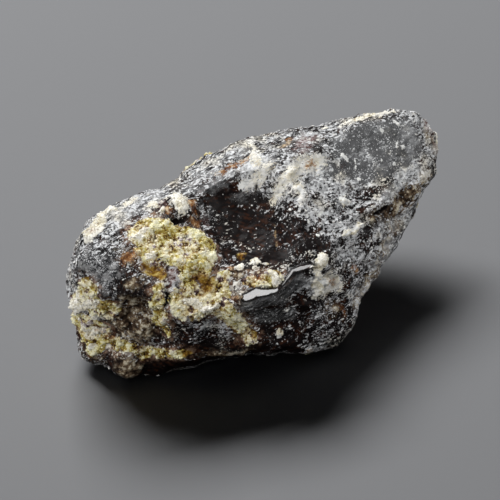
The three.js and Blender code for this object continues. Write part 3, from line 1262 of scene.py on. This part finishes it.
print("highest of the relief's sizes:", max(RELIEF_SIZES.values()), "mm")

# %% [markdown]
# ## The weathered skin
#
# One Geometry Nodes tree now does it all: bites, shelves, relief. Each size is a named input, so it
# can be changed on the modifier. The tree also stores what it worked out, for the materials and for
# the loose crumbs.

# %% Weathered skin
def place_in_mm(g):
    return g.scaled(g.node("GeometryNodeInputPosition", {}), 1 / MM)


def stored(g, body, name, value):
    inputs = {"Geometry": body, "Name": name, "Value": value}
    return g.node("GeometryNodeStoreNamedAttribute", inputs, data_type="FLOAT", domain="POINT")


def finished(g, body, material):
    """The last steps of a tree: real geometry, with its material."""
    body = g.node("GeometryNodeRealizeInstances", {0: body})
    inputs = {"Geometry": body, "Material": material}
    g.add("NodeGroupOutput", {"Geometry": g.node("GeometryNodeSetMaterial", inputs)})


def relief_tree():
    sockets = {"Geometry": "Geometry", "Material": "Material"}
    sockets.update({name: "Float" for name in RELIEF_SIZES})
    g, given = new_tree("Weathered skin", "GeometryNodeTree", sockets, {"Geometry": "Geometry"})
    body = shelved(g, bitten(g, given["Geometry"]))
    place = place_in_mm(g)
    shares, rubble = torn_shares(g, place), rubble_shape(g, place)
    height = relief_height(g, place, shares, rubble, given)
    for name, value in (("rubble", rubble), ("crusted", shares["crust"]), ("whitened", shares["white"])):
        body = stored(g, body, name, value)
    offset = g.scaled(g.node("GeometryNodeInputNormal", {}), g.math("MULTIPLY", height, MM))
    body = g.node("GeometryNodeSetPosition", {"Geometry": body, "Offset": offset})
    finished(g, g.node("GeometryNodeSetShadeSmooth", {0: body}), given["Material"])
    return g.tree


def dress(thing, tree, values):
    """Adds a Geometry Nodes modifier and sets its inputs by their identifiers."""
    modifier = thing.modifiers.new(tree.name, "NODES")
    modifier.node_group = tree
    for socket in tree.interface.items_tree:
        if socket.in_out == "INPUT" and socket.name in values:
            modifier[socket.identifier] = values[socket.name]


weathered_skin = relief_tree()
print("nodes in the skin's tree:", len(weathered_skin.nodes))

# %% [markdown]
# ## The crust's finish
#
# The crust shows on the skin and on the loose crumbs alike, so its finish is a shader node group,
# built once. Its colours are three ramps, as the crust is cream in most places, yellow in some and
# mauve in a few. Each runs from the dark gaps between the crumbs to the palest crumbs. One ramp with
# a tint laid over it would be simpler, but the gaps would take the tint as well.

# %% Colours of the crust
# Each ramp: position, then the colour there
CREAM_CRUST = [
    (0.10, (0.035, 0.017, 0.012)),
    (0.27, (0.20, 0.10, 0.035)),
    (0.42, (0.46, 0.34, 0.14)),
    (0.62, (0.74, 0.64, 0.38)),
    (0.85, (0.91, 0.87, 0.68)),
]
YELLOW_CRUST = [
    (0.10, (0.035, 0.016, 0.006)),
    (0.30, (0.19, 0.10, 0.015)),
    (0.50, (0.38, 0.28, 0.055)),
    (0.70, (0.65, 0.56, 0.20)),
    (0.92, (0.88, 0.85, 0.60)),
]
MAUVE_CRUST = [
    (0.15, (0.012, 0.008, 0.009)),
    (0.42, (0.075, 0.033, 0.03)),
    (0.68, (0.23, 0.15, 0.14)),
    (0.92, (0.66, 0.60, 0.60)),
]
print("crust ramps have", len(CREAM_CRUST), len(YELLOW_CRUST), "and", len(MAUVE_CRUST), "stops")

# %% [markdown]
# ## The crust's grain
#
# A painted texture would stretch over the crumbs; cells of random value give each grain an edge of
# its own. Cells and noise are added up, each with its own weight, and stretched to about 0 to 1. That
# sum is the grain, which runs along the ramps. A second sum says which kind of crust it is.

# %% Crust finish
FINE_GRAIN, COARSE_GRAIN, KIND_GRAIN = 0.22, 0.50, 0.9  # sizes in mm
GRAIN_CLOUD, BROAD_CLOUD, KIND_CLOUD = (0.9, 4, 0.7), (1.9, 3, 0.6), (2.0, 4, 0.7)
GRAIN_WEIGHTS = (0.12, 0.18, 1, 0.50)  # of fine grains, coarse grains, cloud and rubble
GRAIN_RANGE = (0.33, 0.93)  # the sum's usual range, which is stretched to 0 to 1
BROAD_WEIGHT = 1.1
KIND_WEIGHTS = (0.26, 1.4, 0.30)  # of grains, cloud and olive
YELLOW_FROM, MAUVE_BELOW = (0.84, 0.94), (0.70, 0.63)  # the kinds that are yellow, and mauve


def crust_grain(g, place, rubble):
    """0 in the gaps between the crumbs, 1 on the palest crumbs."""
    fine, coarse = g.grains(place, FINE_GRAIN), g.grains(place, COARSE_GRAIN)
    parts = (fine, coarse, g.noise(place, *GRAIN_CLOUD), rubble)
    level = g.fit(g.weighted(*zip(parts, GRAIN_WEIGHTS)), *GRAIN_RANGE)
    return g.math("MULTIPLY_ADD", g.sway(place, *BROAD_CLOUD), BROAD_WEIGHT, level)


def crust_group():
    sockets = {"Place": "Vector", "Rubble": "Float", "Olive": "Float"}
    g, given = new_tree("Crust", "ShaderNodeTree", sockets, {"Colour": "Color", "Grain": "Float"})
    place = given["Place"]
    grain = crust_grain(g, place, given["Rubble"])
    parts = (g.grains(place, KIND_GRAIN), g.noise(place, *KIND_CLOUD), given["Olive"])
    kind = g.weighted(*zip(parts, KIND_WEIGHTS))
    cream, yellow = g.palette(grain, CREAM_CRUST), g.palette(grain, YELLOW_CRUST)
    colour = g.mix(g.step(kind, *YELLOW_FROM), cream, yellow)
    colour = g.mix(g.step(kind, *MAUVE_BELOW), colour, g.palette(grain, MAUVE_CRUST))
    g.add("NodeGroupOutput", {"Colour": colour, "Grain": grain})
    return g.tree


crust_finish = crust_group()
print("nodes in the crust finish:", len(crust_finish.nodes))

# %% [markdown]
# ## The powder's finish
#
# Powder is given by the share of the surface that it covers. Each kind again adds up cells and noise,
# and counts as present wherever that sum is below the share. So a share of 0.3 covers about a third
# of the surface, with crisp grains that grow and join as the share rises. Fading a white layer in and
# out would be easier, but it would look like fog.

# %% Kinds of powder
# Cell sizes in mm, and noises: size in mm, detail, roughness
FLAKE_GRAIN, PLATE_GRAIN, SPECK_GRAIN = 0.24, 0.52, 0.16
FLAKE_CLOUD, SPECK_CLOUD, DUST_CLOUD = (1.2, 4, 0.7), (0.30, 5, 0.85), (1.3, 5, 0.8)
# The weights of what each kind adds up, the sum's usual range, and how soft the kind's edge is
FLAKE_WEIGHTS, FLAKE_RANGE, FLAKE_EDGE = (0.42, 0.40, 0.7, 0.35), (0.60, 1.28), (0, 0.06)
SPECK_WEIGHTS, SPECK_RANGE, SPECK_EDGE = (1, 0.35, 0.7), (0.74, 1.34), (0, 0.12)
DUST_WEIGHTS, DUST_RANGE, DUST_EDGE = (1, 0.6), (0.55, 1.05), (-0.30, 0.50)


def covered(g, level, share, edge):
    """1 where the level is below the share, over an edge this soft."""
    return g.step(g.math("SUBTRACT", share, level), *edge)


def flakes_of(g, streaks, patches, share):
    """Flakes about 0.4 mm wide with crisp edges."""
    grains, plates = g.grains(streaks, FLAKE_GRAIN), g.grains(streaks, PLATE_GRAIN)
    parts = (grains, plates, g.noise(streaks, *FLAKE_CLOUD), patches)
    level = g.fit(g.weighted(*zip(parts, FLAKE_WEIGHTS)), *FLAKE_RANGE)
    return covered(g, level, share, FLAKE_EDGE)


def specks_of(g, bent, streaks, patches, share):
    """Specks about 0.1 mm wide."""
    parts = (g.noise(streaks, *SPECK_CLOUD), g.grains(bent, SPECK_GRAIN), patches)
    level = g.fit(g.weighted(*zip(parts, SPECK_WEIGHTS)), *SPECK_RANGE)
    return covered(g, level, share, SPECK_EDGE)


def dust_and_sheen_of(g, streaks, patches, share):
    """A thin film with soft edges; in places a painted sheen."""
    parts = (g.noise(streaks, *DUST_CLOUD), patches)
    level = g.fit(g.weighted(*zip(parts, DUST_WEIGHTS)), *DUST_RANGE)
    return covered(g, level, share, DUST_EDGE)


print("kinds of powder:", ", ".join(POWDER))

# %% [markdown]
# ## The powder put together
#
# Powder has been wiped along the lump, so its pattern is drawn out that way, and swirls keep it from
# looking combed. Each flake and speck has a strength of its own, and wherever kinds overlap the
# strongest counts. This is a node group too, as its many nodes would bury the rest of the skin's
# material.

# %% Powder finish
GREY_POWDER, WARM_POWDER = (0.76, 0.77, 0.78, 1), (0.84, 0.79, 0.68, 1)
WARM_CLOUD, WARM_FROM = (5.0, 3, 0.6), (0.5, 0.7)
POWDER_SWIRLS, POWDER_BEND = 1.6, 0.3  # swirls per mm and how far they bend the pattern, in mm
DRAWN_OUT = (0.5, 1, 1)  # halving x draws the powder out to twice its length along the lump
PATCHES = (3.2, 4, 0.6)
DUST_STRENGTH = 0.45
# A few of the specks are bright grit
GRIT_GRAIN, GRIT_SHARE, GRIT_EDGE, GRIT_STRENGTH = 0.15, 0.20, (0, 0.02), 0.85
# Random cells make a flake 0.3 to 1 strong and a speck 0.4 to 0.95
THICK_GRAIN, THICKNESSES = 0.33, (0.1, 0.7, 0.30, 1.0)
FAINT_GRAIN, FAINTNESSES = 0.6, (0.1, 0.9, 0.4, 0.95)


def powder_group():
    sockets = {"Place": "Vector", "Dust_and_sheen": "Float", "Specks": "Float", "Flakes": "Float"}
    g, given = new_tree("Powder", "ShaderNodeTree", sockets, {"Mask": "Float", "Colour": "Color"})
    place = given["Place"]
    bent = g.swirled(place, POWDER_SWIRLS, POWDER_BEND)
    streaks = g.vector("MULTIPLY", bent, DRAWN_OUT)
    patches = g.noise(place, *PATCHES)
    faintness = g.fit(g.grains(place, FAINT_GRAIN), *FAINTNESSES)
    specks = g.product(specks_of(g, bent, streaks, patches, given["Specks"]), faintness)
    grit_share = g.math("MULTIPLY", given["Specks"], GRIT_SHARE)
    grit = covered(g, g.grains(place, GRIT_GRAIN), grit_share, GRIT_EDGE)
    dust_and_sheen = dust_and_sheen_of(g, streaks, patches, given["Dust_and_sheen"])
    thickness = g.fit(g.grains(bent, THICK_GRAIN), *THICKNESSES)
    flakes = g.product(flakes_of(g, streaks, patches, given["Flakes"]), thickness)
    grit, dust_and_sheen = g.product(grit, GRIT_STRENGTH), g.product(dust_and_sheen, DUST_STRENGTH)
    warm = g.step(g.noise(place, *WARM_CLOUD), *WARM_FROM)
    colour = g.mix(warm, GREY_POWDER, WARM_POWDER)
    g.add("NodeGroupOutput", {"Mask": g.largest(specks, grit, dust_and_sheen, flakes), "Colour": colour})
    return g.tree


powder_finish = powder_group()
print("nodes in the powder finish:", len(powder_finish.nodes))

# %% [markdown]
# ## The resin's colour
#
# The skin's own material is painted in the order in which the lump weathered. Under everything lies
# the resin: nearly black, brown where it lets a little light in, with faint flow bands round one
# place in the hollow, grey where it broke like glass, a grey that is partly painted sheen, and a paler
# grey where it was rubbed, which on one small spot in the pocket is a painted highlight.
#
# The lump is opaque. Real black amber lets light through only in thin splinters, and painted windows
# of honey-coloured resin look as deep here as transparent ones would, without their noise.

# %% Resin
BLACK_RESIN, BROWN_RESIN = (0.006, 0.004, 0.004, 1), (0.038, 0.014, 0.007, 1)
# The glassy greys are lighter than the black resin because they are partly painted sheen
GLASS_SHEEN_DARK, GLASS_SHEEN_PALE = (0.030, 0.030, 0.030, 1), (0.100, 0.098, 0.097, 1)
SATIN_SHEEN_DARK, SATIN_SHEEN_PALE = (0.052, 0.053, 0.055, 1), (0.135, 0.136, 0.138, 1)
BROWN_CLOUD, BROWN_FROM = (1.5, 5, 0.7), (0.50, 0.68)
BAND_START = tuple(spot(242, 256))  # the flow bands run round this place in the hollow
BAND_PITCH, BAND_TINT = 0.7, 0.05
BAND_CLOUD, BAND_WOBBLE = (2.5, 3, 0.6), 2.5 * BAND_PITCH
BAND_RANGE, RUBBED_RANGE = (0.2, 1), (-0.25, 0.25)


def resin_colour(g, place, shares, ragged):
    """The resin under all that has settled on it."""
    wobble = g.math("MULTIPLY", g.noise(place, *BAND_CLOUD), BAND_WOBBLE)
    bands = g.rings(place, BAND_START, BAND_PITCH, wobble)
    brown = g.math("MULTIPLY_ADD", bands, BAND_TINT, g.noise(place, *BROWN_CLOUD))
    colour = g.mix(g.step(brown, *BROWN_FROM), BLACK_RESIN, BROWN_RESIN)
    # Glassy breaks get a grey that follows the flow bands and is partly painted sheen
    glass_and_sheen = g.mix(g.fit(bands, *BAND_RANGE), GLASS_SHEEN_DARK, GLASS_SHEEN_PALE)
    colour = g.mix(shares["glass"], colour, glass_and_sheen)
    # The satin grey is rubbed resin, and on one small stroke in the pocket it is a painted highlight
    rubbed_and_sheen = g.mix(g.fit(ragged, *RUBBED_RANGE), SATIN_SHEEN_DARK, SATIN_SHEEN_PALE)
    return g.mix(shares["satin_and_sheen"], colour, rubbed_and_sheen)


print("flow bands run round", np.round(BAND_START, 1), "mm")

# %% [markdown]
# ## Where each colour shows
#
# The stored depths become shares from 0 to 1 again, as they did for the relief. The material frays
# them with noise much finer than the mesh. The white film is only colour: it was smeared on by a
# rub, so noise drawn out along the lump tears it into streaks.

# %% Shares of each colour
# The depths in a stroke, in mm, at which a finish's colour starts and is full, and how far noise
# frays its edge. Crusted and whitened are shares already, stored by the relief.
COLOUR_EDGES = {
    "olive": (-0.5, 0.5, 1.0),
    "ledge": (-0.25, -0.1, 0.1),
    "glass": (-0.2, 0.3, 0.6),
    "satin_and_sheen": (-0.6, 0.6, 1.0),
    "fuzz": (-0.8, 0.8, 1.5),
    "crust": (-1.6, -0.3, 3.0),
    "earth": (-0.5, 0.5, 2.5),
    "mauve": (-0.4, 0.6, 1.5),
    "film": (-0.1, 0.1, 1.5),
    "crusted": (0.35, 0.65, 0.9),
    "whitened": (0.3, 0.7, 0.8),
    "chip": (0.0, 0.12, 0.8),
    "honey": (-0.3, 0.3, 1.2),
    "rust": (-0.3, 0.4, 2.6),
    "vein": (-0.1, 0.1, 0.6),
    "crack": (-0.1, 0.2, 0.6),
}
FILM_DRAWN_OUT, FILM_NOISE, FILM_STREAKS = (0.4, 1, 1), (0.32, 5, 0.85), 5.0
FILM_LIMIT = 0.45  # film counts as no deeper than this, so noise tears streaks all over it
STAIN_STRENGTH, MAUVE_STRENGTH = 0.85, 0.8


def field(g, name):
    """A number that the skin stores at each point, for materials."""
    return g.node("ShaderNodeAttribute", {}, "Fac", attribute_name=name)


def streaky_film(g, place):
    """The film's depth, torn into streaks along the lump."""
    streaks = g.sway(g.vector("MULTIPLY", place, FILM_DRAWN_OUT), *FILM_NOISE)
    limited = g.math("MINIMUM", field(g, "film"), FILM_LIMIT)
    return g.math("MULTIPLY_ADD", streaks, FILM_STREAKS, limited)


def painted_shares(g, place, ragged):
    """How much of each finish's colour shows at a point, from 0 to 1."""
    shares = {}
    for name, (low, high, fray) in COLOUR_EDGES.items():
        depth = streaky_film(g, place) if name == "film" else field(g, name)
        shares[name] = g.step(g.math("MULTIPLY_ADD", ragged, fray, depth), low, high)
    shares["bare"] = g.rest(shares["ledge"])  # nothing lies on the lip's mirror
    shares["crusted"] = g.product(shares["crusted"], shares["bare"])
    shares["stained"] = g.product(shares["crust"], shares["bare"], STAIN_STRENGTH)
    shares["mauve"] = g.product(shares["mauve"], MAUVE_STRENGTH)
    return shares


print("finishes with a colour:", ", ".join(COLOUR_EDGES))

# %% [markdown]
# ## What lies on the resin
#
# Seven more finishes lie on the resin or show through what lies there: dark fuzz, brown stains,
# earth, white film, packed white powder, honey-coloured windows and rust. Each could have noise of
# its own, but a ramp over the crust's grain makes them as crumbly as the crust they lie in.

# %% Colours of the layers
FUZZ = [
    (0.30, (0.012, 0.012, 0.013)),
    (0.65, (0.05, 0.05, 0.052)),
    (0.95, (0.28, 0.28, 0.28)),
]
STAIN = [
    (0.25, (0.012, 0.007, 0.006)),
    (0.55, (0.075, 0.030, 0.018)),
    (0.90, (0.34, 0.22, 0.15)),
]
EARTH = [
    (0.20, (0.012, 0.008, 0.006)),
    (0.45, (0.045, 0.027, 0.016)),
    (0.65, (0.12, 0.08, 0.05)),
    (0.82, (0.28, 0.22, 0.14)),
    (0.98, (0.60, 0.54, 0.42)),
]
FILM = [
    (0.10, (0.60, 0.53, 0.40)),
    (0.45, (0.90, 0.86, 0.74)),
    (0.80, (0.97, 0.95, 0.90)),
]
WHITE_CRUST = [
    (0.05, (0.25, 0.20, 0.13)),
    (0.22, (0.65, 0.58, 0.42)),
    (0.42, (0.87, 0.82, 0.66)),
    (0.65, (0.96, 0.93, 0.85)),
]
HONEY = [
    (0.15, (0.020, 0.006, 0.001)),
    (0.40, (0.13, 0.052, 0.006)),
    (0.68, (0.32, 0.18, 0.022)),
    (0.95, (0.56, 0.42, 0.12)),
]
RUST = [
    (0.15, (0.04, 0.014, 0.007)),
    (0.45, (0.20, 0.078, 0.028)),
    (0.70, (0.42, 0.22, 0.09)),
    (0.90, (0.76, 0.60, 0.40)),
]
CHIP_TONE, VEIN_TONE = (0.90, 0.90, 0.87, 1), (0.25, 0.17, 0.09, 1)
print("colour ramps of the layers:", len((FUZZ, STAIN, EARTH, FILM, WHITE_CRUST, HONEY, RUST)))

# %% [markdown]
# ## The order of the layers
#
# Fuzz, stains, earth and mauve soil the resin, and powder lies on them. Over it come the white film,
# the crumbly crust and the packed white powder. Chips, honey-coloured windows, rust, veins and cracks
# cut through everything, so they are mixed in last. Each group is a function that takes a colour and
# hands it on with its layers mixed in.

# %% Layers on the resin
SOILS = {"fuzz": FUZZ, "stained": STAIN, "earth": EARTH, "mauve": MAUVE_CRUST}


def soiled(g, colour, shares, grain):
    for name, stops in SOILS.items():
        colour = g.mix(shares[name], colour, g.palette(grain, stops))
    return colour


def encrusted(g, colour, shares, grain, crust_colour):
    colour = g.mix(shares["film"], colour, g.palette(grain, FILM))
    colour = g.mix(shares["crusted"], colour, crust_colour)
    return g.mix(shares["whitened"], colour, g.palette(grain, WHITE_CRUST))


def cut_through(g, colour, shares, grain):
    colour = g.mix(shares["chip"], colour, CHIP_TONE)
    colour = g.mix(shares["honey"], colour, g.palette(grain, HONEY))
    colour = g.mix(shares["rust"], colour, g.palette(grain, RUST))
    colour = g.mix(shares["vein"], colour, VEIN_TONE)
    return g.mix(shares["crack"], colour, BLACK_RESIN)


print("soils, in the order in which they lie:", ", ".join(SOILS))

# %% [markdown]
# ## Gloss and grain
#
# Powder, crust and earth are dry, and resin is half glossy. A clear coat makes the glassy breaks and
# the lip shine: it lies on the shader like a varnish, so the black under it stays black, and on the
# glassy breaks the grey of painted sheen under it stays too. Grains too small for the mesh are left
# to a bump.

# %% Surface of the skin
AMBER_IOR = 1.54
BARE_SPECULAR = 0.08  # low, or the softboxes would lay a haze over resin that should be black
RESIN_ROUGHNESS, DRY_ROUGHNESS = 0.45, 0.85
COAT_ROUGHNESS, COAT_WEIGHT = 0.15, 0.85
LIP_GLOSS, HONEY_GLOSS = 0.95, 0.6
GRAIN_DEPTH = 0.15  # how far the bump raises a grain, in mm
DUST_RELIEF, HONEY_RELIEF = 0.4, 0.4  # shares of that depth


def surface(g, shader, shares, grain, dust_and_sheen):
    """How rough the skin is, how glossy its resin and how grainy its powder."""
    dry = g.largest(shares["crusted"], shares["whitened"], dust_and_sheen, shares["earth"])
    dry = g.product(dry, g.rest(shares["honey"]), shares["bare"])
    g.feed(g.fit(dry, 0, 1, RESIN_ROUGHNESS, DRY_ROUGHNESS), shader.inputs["Roughness"])
    lip, honey = g.product(shares["ledge"], LIP_GLOSS), g.product(shares["honey"], HONEY_GLOSS)
    glossy = g.largest(shares["glass"], lip, honey)
    g.feed(g.product(glossy, g.rest(dry), COAT_WEIGHT), shader.inputs["Coat Weight"])
    grainy = g.largest(dry, g.product(shares["honey"], HONEY_RELIEF))
    height = g.weighted((grainy, grain), (dust_and_sheen, DUST_RELIEF))
    bump = g.node("ShaderNodeBump", {"Distance": GRAIN_DEPTH * MM, "Height": height})
    g.feed(bump, shader.inputs["Normal"])
    g.feed(AMBER_IOR, shader.inputs["IOR"])
    g.feed(BARE_SPECULAR, shader.inputs["Specular IOR Level"])
    g.feed(AMBER_IOR, shader.inputs["Coat IOR"])
    g.feed(COAT_ROUGHNESS, shader.inputs["Coat Roughness"])


print("roughness of resin and of dry powder:", RESIN_ROUGHNESS, DRY_ROUGHNESS)

# %% [markdown]
# ## The skin's material
#
# Everything comes together: the shares are worked out once, each layer is mixed over the one before
# it, and the surface follows. Then the tree and the material are put on the skin, and the result is
# made a plain mesh, as the modifier has done its work.

# %% Skin material
RAGGED_NOISE = (0.5, 4, 0.75)  # frays every colour's edge


def new_material(name):
    """A material, its graph, its shader and the place in mm."""
    material = bpy.data.materials.new(name)
    material.use_nodes = True
    g = Patterns(material.node_tree)
    place = g.scaled(g.node("ShaderNodeTexCoord", {}, "Object"), 1 / MM)
    return material, g, material.node_tree.nodes["Principled BSDF"], place


def shared(g, group, inputs):
    """The outputs of a shared finish that is given these inputs."""
    return g.add("ShaderNodeGroup", inputs, node_tree=group).outputs


def skin_material():
    material, g, shader, place = new_material("weathered black amber")
    ragged = g.sway(place, *RAGGED_NOISE)
    shares = painted_shares(g, place, ragged)
    inputs = {"Place": place, "Rubble": field(g, "rubble"), "Olive": shares["olive"]}
    crust = shared(g, crust_finish, inputs)
    grain = crust["Grain"]
    inputs = {name.capitalize(): field(g, name) for name in POWDER}
    powder = shared(g, powder_finish, {"Place": place, **inputs})
    dust_and_sheen = g.product(powder["Mask"], shares["bare"])
    colour = soiled(g, resin_colour(g, place, shares, ragged), shares, grain)
    colour = g.mix(dust_and_sheen, colour, powder["Colour"])
    colour = encrusted(g, colour, shares, grain, crust["Colour"])
    g.feed(cut_through(g, colour, shares, grain), shader.inputs["Base Color"])
    surface(g, shader, shares, grain, dust_and_sheen)
    return material


dress(skin, weathered_skin, {**RELIEF_SIZES, "Material": skin_material()})
made_plain(skin)
print("skin triangles:", triangles(skin))

# %% [markdown]
# ## Loose crumbs
#
# Up close the crust is made of loose crumbs, and thick powder of tiny flakes. A particle system could
# scatter them, but Geometry Nodes can follow the shares that the skin stores: crumbs lie where the
# crust is, white ones where powder is packed, flakes where powder is thick, and none on the lip or in
# a window.

# %% Sizes and numbers of grains
# Numbers per square millimetre of covered skin, and the range of sizes in mm
CRUMB_SIZES = {
    "Crust Crumbs per mm2": 12.0,
    "White Crumbs per mm2": 7.0,
    "Flakes per mm2": 2.6,
    "Smallest": 0.10,
    "Largest": 0.38,
}
CRUMB_SEED, SIZE_SEED, SQUASH_SEED = 7, 3, 5
CUBE_SIDE = 0.8  # the cube's side as a share of a grain's size
SMALLNESS = 2.5  # the higher, the more of the grains are small
SQUASHED, STRETCHED = (0.6, 0.6, 0.5), (1.3, 1.3, 1.0)
FLAKE_ONSET = 1.5  # the higher, the more the flakes keep to where powder is thick
CLEAR_OF, CLEARANCE = ("honey", "ledge"), -0.2  # grains keep 0.2 mm off these finishes


def grain_density(g, given):
    """Grains per square metre, by what lies at the point."""
    thick = g.math("POWER", named(g, "flakes"), FLAKE_ONSET)
    density = g.weighted(
        (named(g, "crusted"), given["Crust Crumbs per mm2"]),
        (named(g, "whitened"), given["White Crumbs per mm2"]),
        (thick, given["Flakes per mm2"]),
    )
    for finish in CLEAR_OF:
        density = g.product(density, g.math("LESS_THAN", named(g, finish), CLEARANCE))
    return g.product(density, 1 / MM**2)


def random_vector(g, low, high, seed=0):
    inputs = {"Min": low, "Max": high, "Seed": seed}
    return g.node("FunctionNodeRandomValue", inputs, 0, data_type="FLOAT_VECTOR")


def grain_scale(g, given):
    """A random size, small more often than large, squashed at random."""
    draw = g.node("FunctionNodeRandomValue", {"Seed": SIZE_SEED}, 1)
    reach = g.math("SUBTRACT", given["Largest"], given["Smallest"])
    size = g.math("MULTIPLY_ADD", g.math("POWER", draw, SMALLNESS), reach, given["Smallest"])
    return g.scaled(random_vector(g, SQUASHED, STRETCHED, SQUASH_SEED), size)


print("most grains in a square millimetre:", max(CRUMB_SIZES.values()))

# %% [markdown]
# ## One cube, thousands of grains
#
# Each grain is a cube, squashed, scaled and turned by chance. A modelled crumb would be truer up
# close, but a cube breaks the light as an angular grain does, and it has only twelve triangles, so
# there may be thousands.

# %% Grains on the skin
TURNED = (2 * math.pi,) * 3  # a grain may be turned as far as this about each axis
LOWEST_GRAIN = 0.6  # height in mm


def crumb_tree():
    sockets = {"Geometry": "Geometry", "Material": "Material", "Seed": "Int"}
    sockets.update({name: "Float" for name in CRUMB_SIZES})
    g, given = new_tree("Crumbs", "GeometryNodeTree", sockets, {"Geometry": "Geometry"})
    high_enough = g.math("GREATER_THAN", g.along(2, place_in_mm(g)), LOWEST_GRAIN)
    inputs = {"Mesh": given["Geometry"], "Selection": high_enough}
    inputs.update({"Density": grain_density(g, given), "Seed": given["Seed"]})
    points = g.node("GeometryNodeDistributePointsOnFaces", inputs)
    points = stored(g, points, "tint", g.node("FunctionNodeRandomValue", {}, 1))
    cube = g.node("GeometryNodeMeshCube", {"Size": (CUBE_SIDE * MM,) * 3})
    inputs = {"Points": points, "Instance": cube, "Scale": grain_scale(g, given)}
    inputs["Rotation"] = random_vector(g, (0, 0, 0), TURNED)
    finished(g, g.node("GeometryNodeInstanceOnPoints", inputs), given["Material"])
    return g.tree


scattered_crumbs = crumb_tree()
print("nodes in the crumbs' tree:", len(scattered_crumbs.nodes))

# %% [markdown]
# ## The crumbs' material
#
# A crumb of crust takes its colour from the crust's finish, at its own place, so it belongs to what
# it lies on. Crumbs of packed powder are white and flakes are grey. A random tint, stored for each
# grain, makes it a little paler or darker than its neighbours.

# %% Crumbs of crust and powder
FLAKE_DARK, FLAKE_PALE = (0.35, 0.34, 0.33, 1), (0.85, 0.84, 0.80, 1)
WHITE_DARK, WHITE_PALE = (0.60, 0.55, 0.42, 1), (0.96, 0.94, 0.86, 1)
MIDDLE_TINT, TINT_REACH = 0.40, 1.1  # the tint that changes nothing, and how strongly others do
LAID_ON = (0.3, 0.6)  # the shares of crust or white powder between which a grain turns into one
CRUMB_ROUGHNESS = 0.8


def crumb_material():
    material, g, shader, place = new_material("crumbs of crust and powder")
    tint = field(g, "tint")
    paler = g.math("SUBTRACT", tint, MIDDLE_TINT)
    rubble = g.math("MULTIPLY_ADD", paler, TINT_REACH, field(g, "rubble"))
    olive_low, olive_high, _ = COLOUR_EDGES["olive"]
    olive = g.step(field(g, "olive"), olive_low, olive_high)
    crust = shared(g, crust_finish, {"Place": place, "Rubble": rubble, "Olive": olive})
    colour = g.mix(tint, FLAKE_DARK, FLAKE_PALE)
    colour = g.mix(g.step(field(g, "crusted"), *LAID_ON), colour, crust["Colour"])
    white = g.mix(tint, WHITE_DARK, WHITE_PALE)
    colour = g.mix(g.step(field(g, "whitened"), *LAID_ON), colour, white)
    g.feed(colour, shader.inputs["Base Color"])
    g.feed(CRUMB_ROUGHNESS, shader.inputs["Roughness"])
    return material


crumbs = linked("crust_crumbs", skin.data.copy())
dress(crumbs, scattered_crumbs, {**CRUMB_SIZES, "Seed": CRUMB_SEED, "Material": crumb_material()})
made_plain(crumbs)
print("crumb triangles:", triangles(crumbs))

# The weak softboxes light what is in the lump's collection.

# %% The pieces on the frame, in the lump's collection
for piece in (skin, crumbs):
    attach(piece, "root")
    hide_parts("amber")
    lump.objects.link(piece)
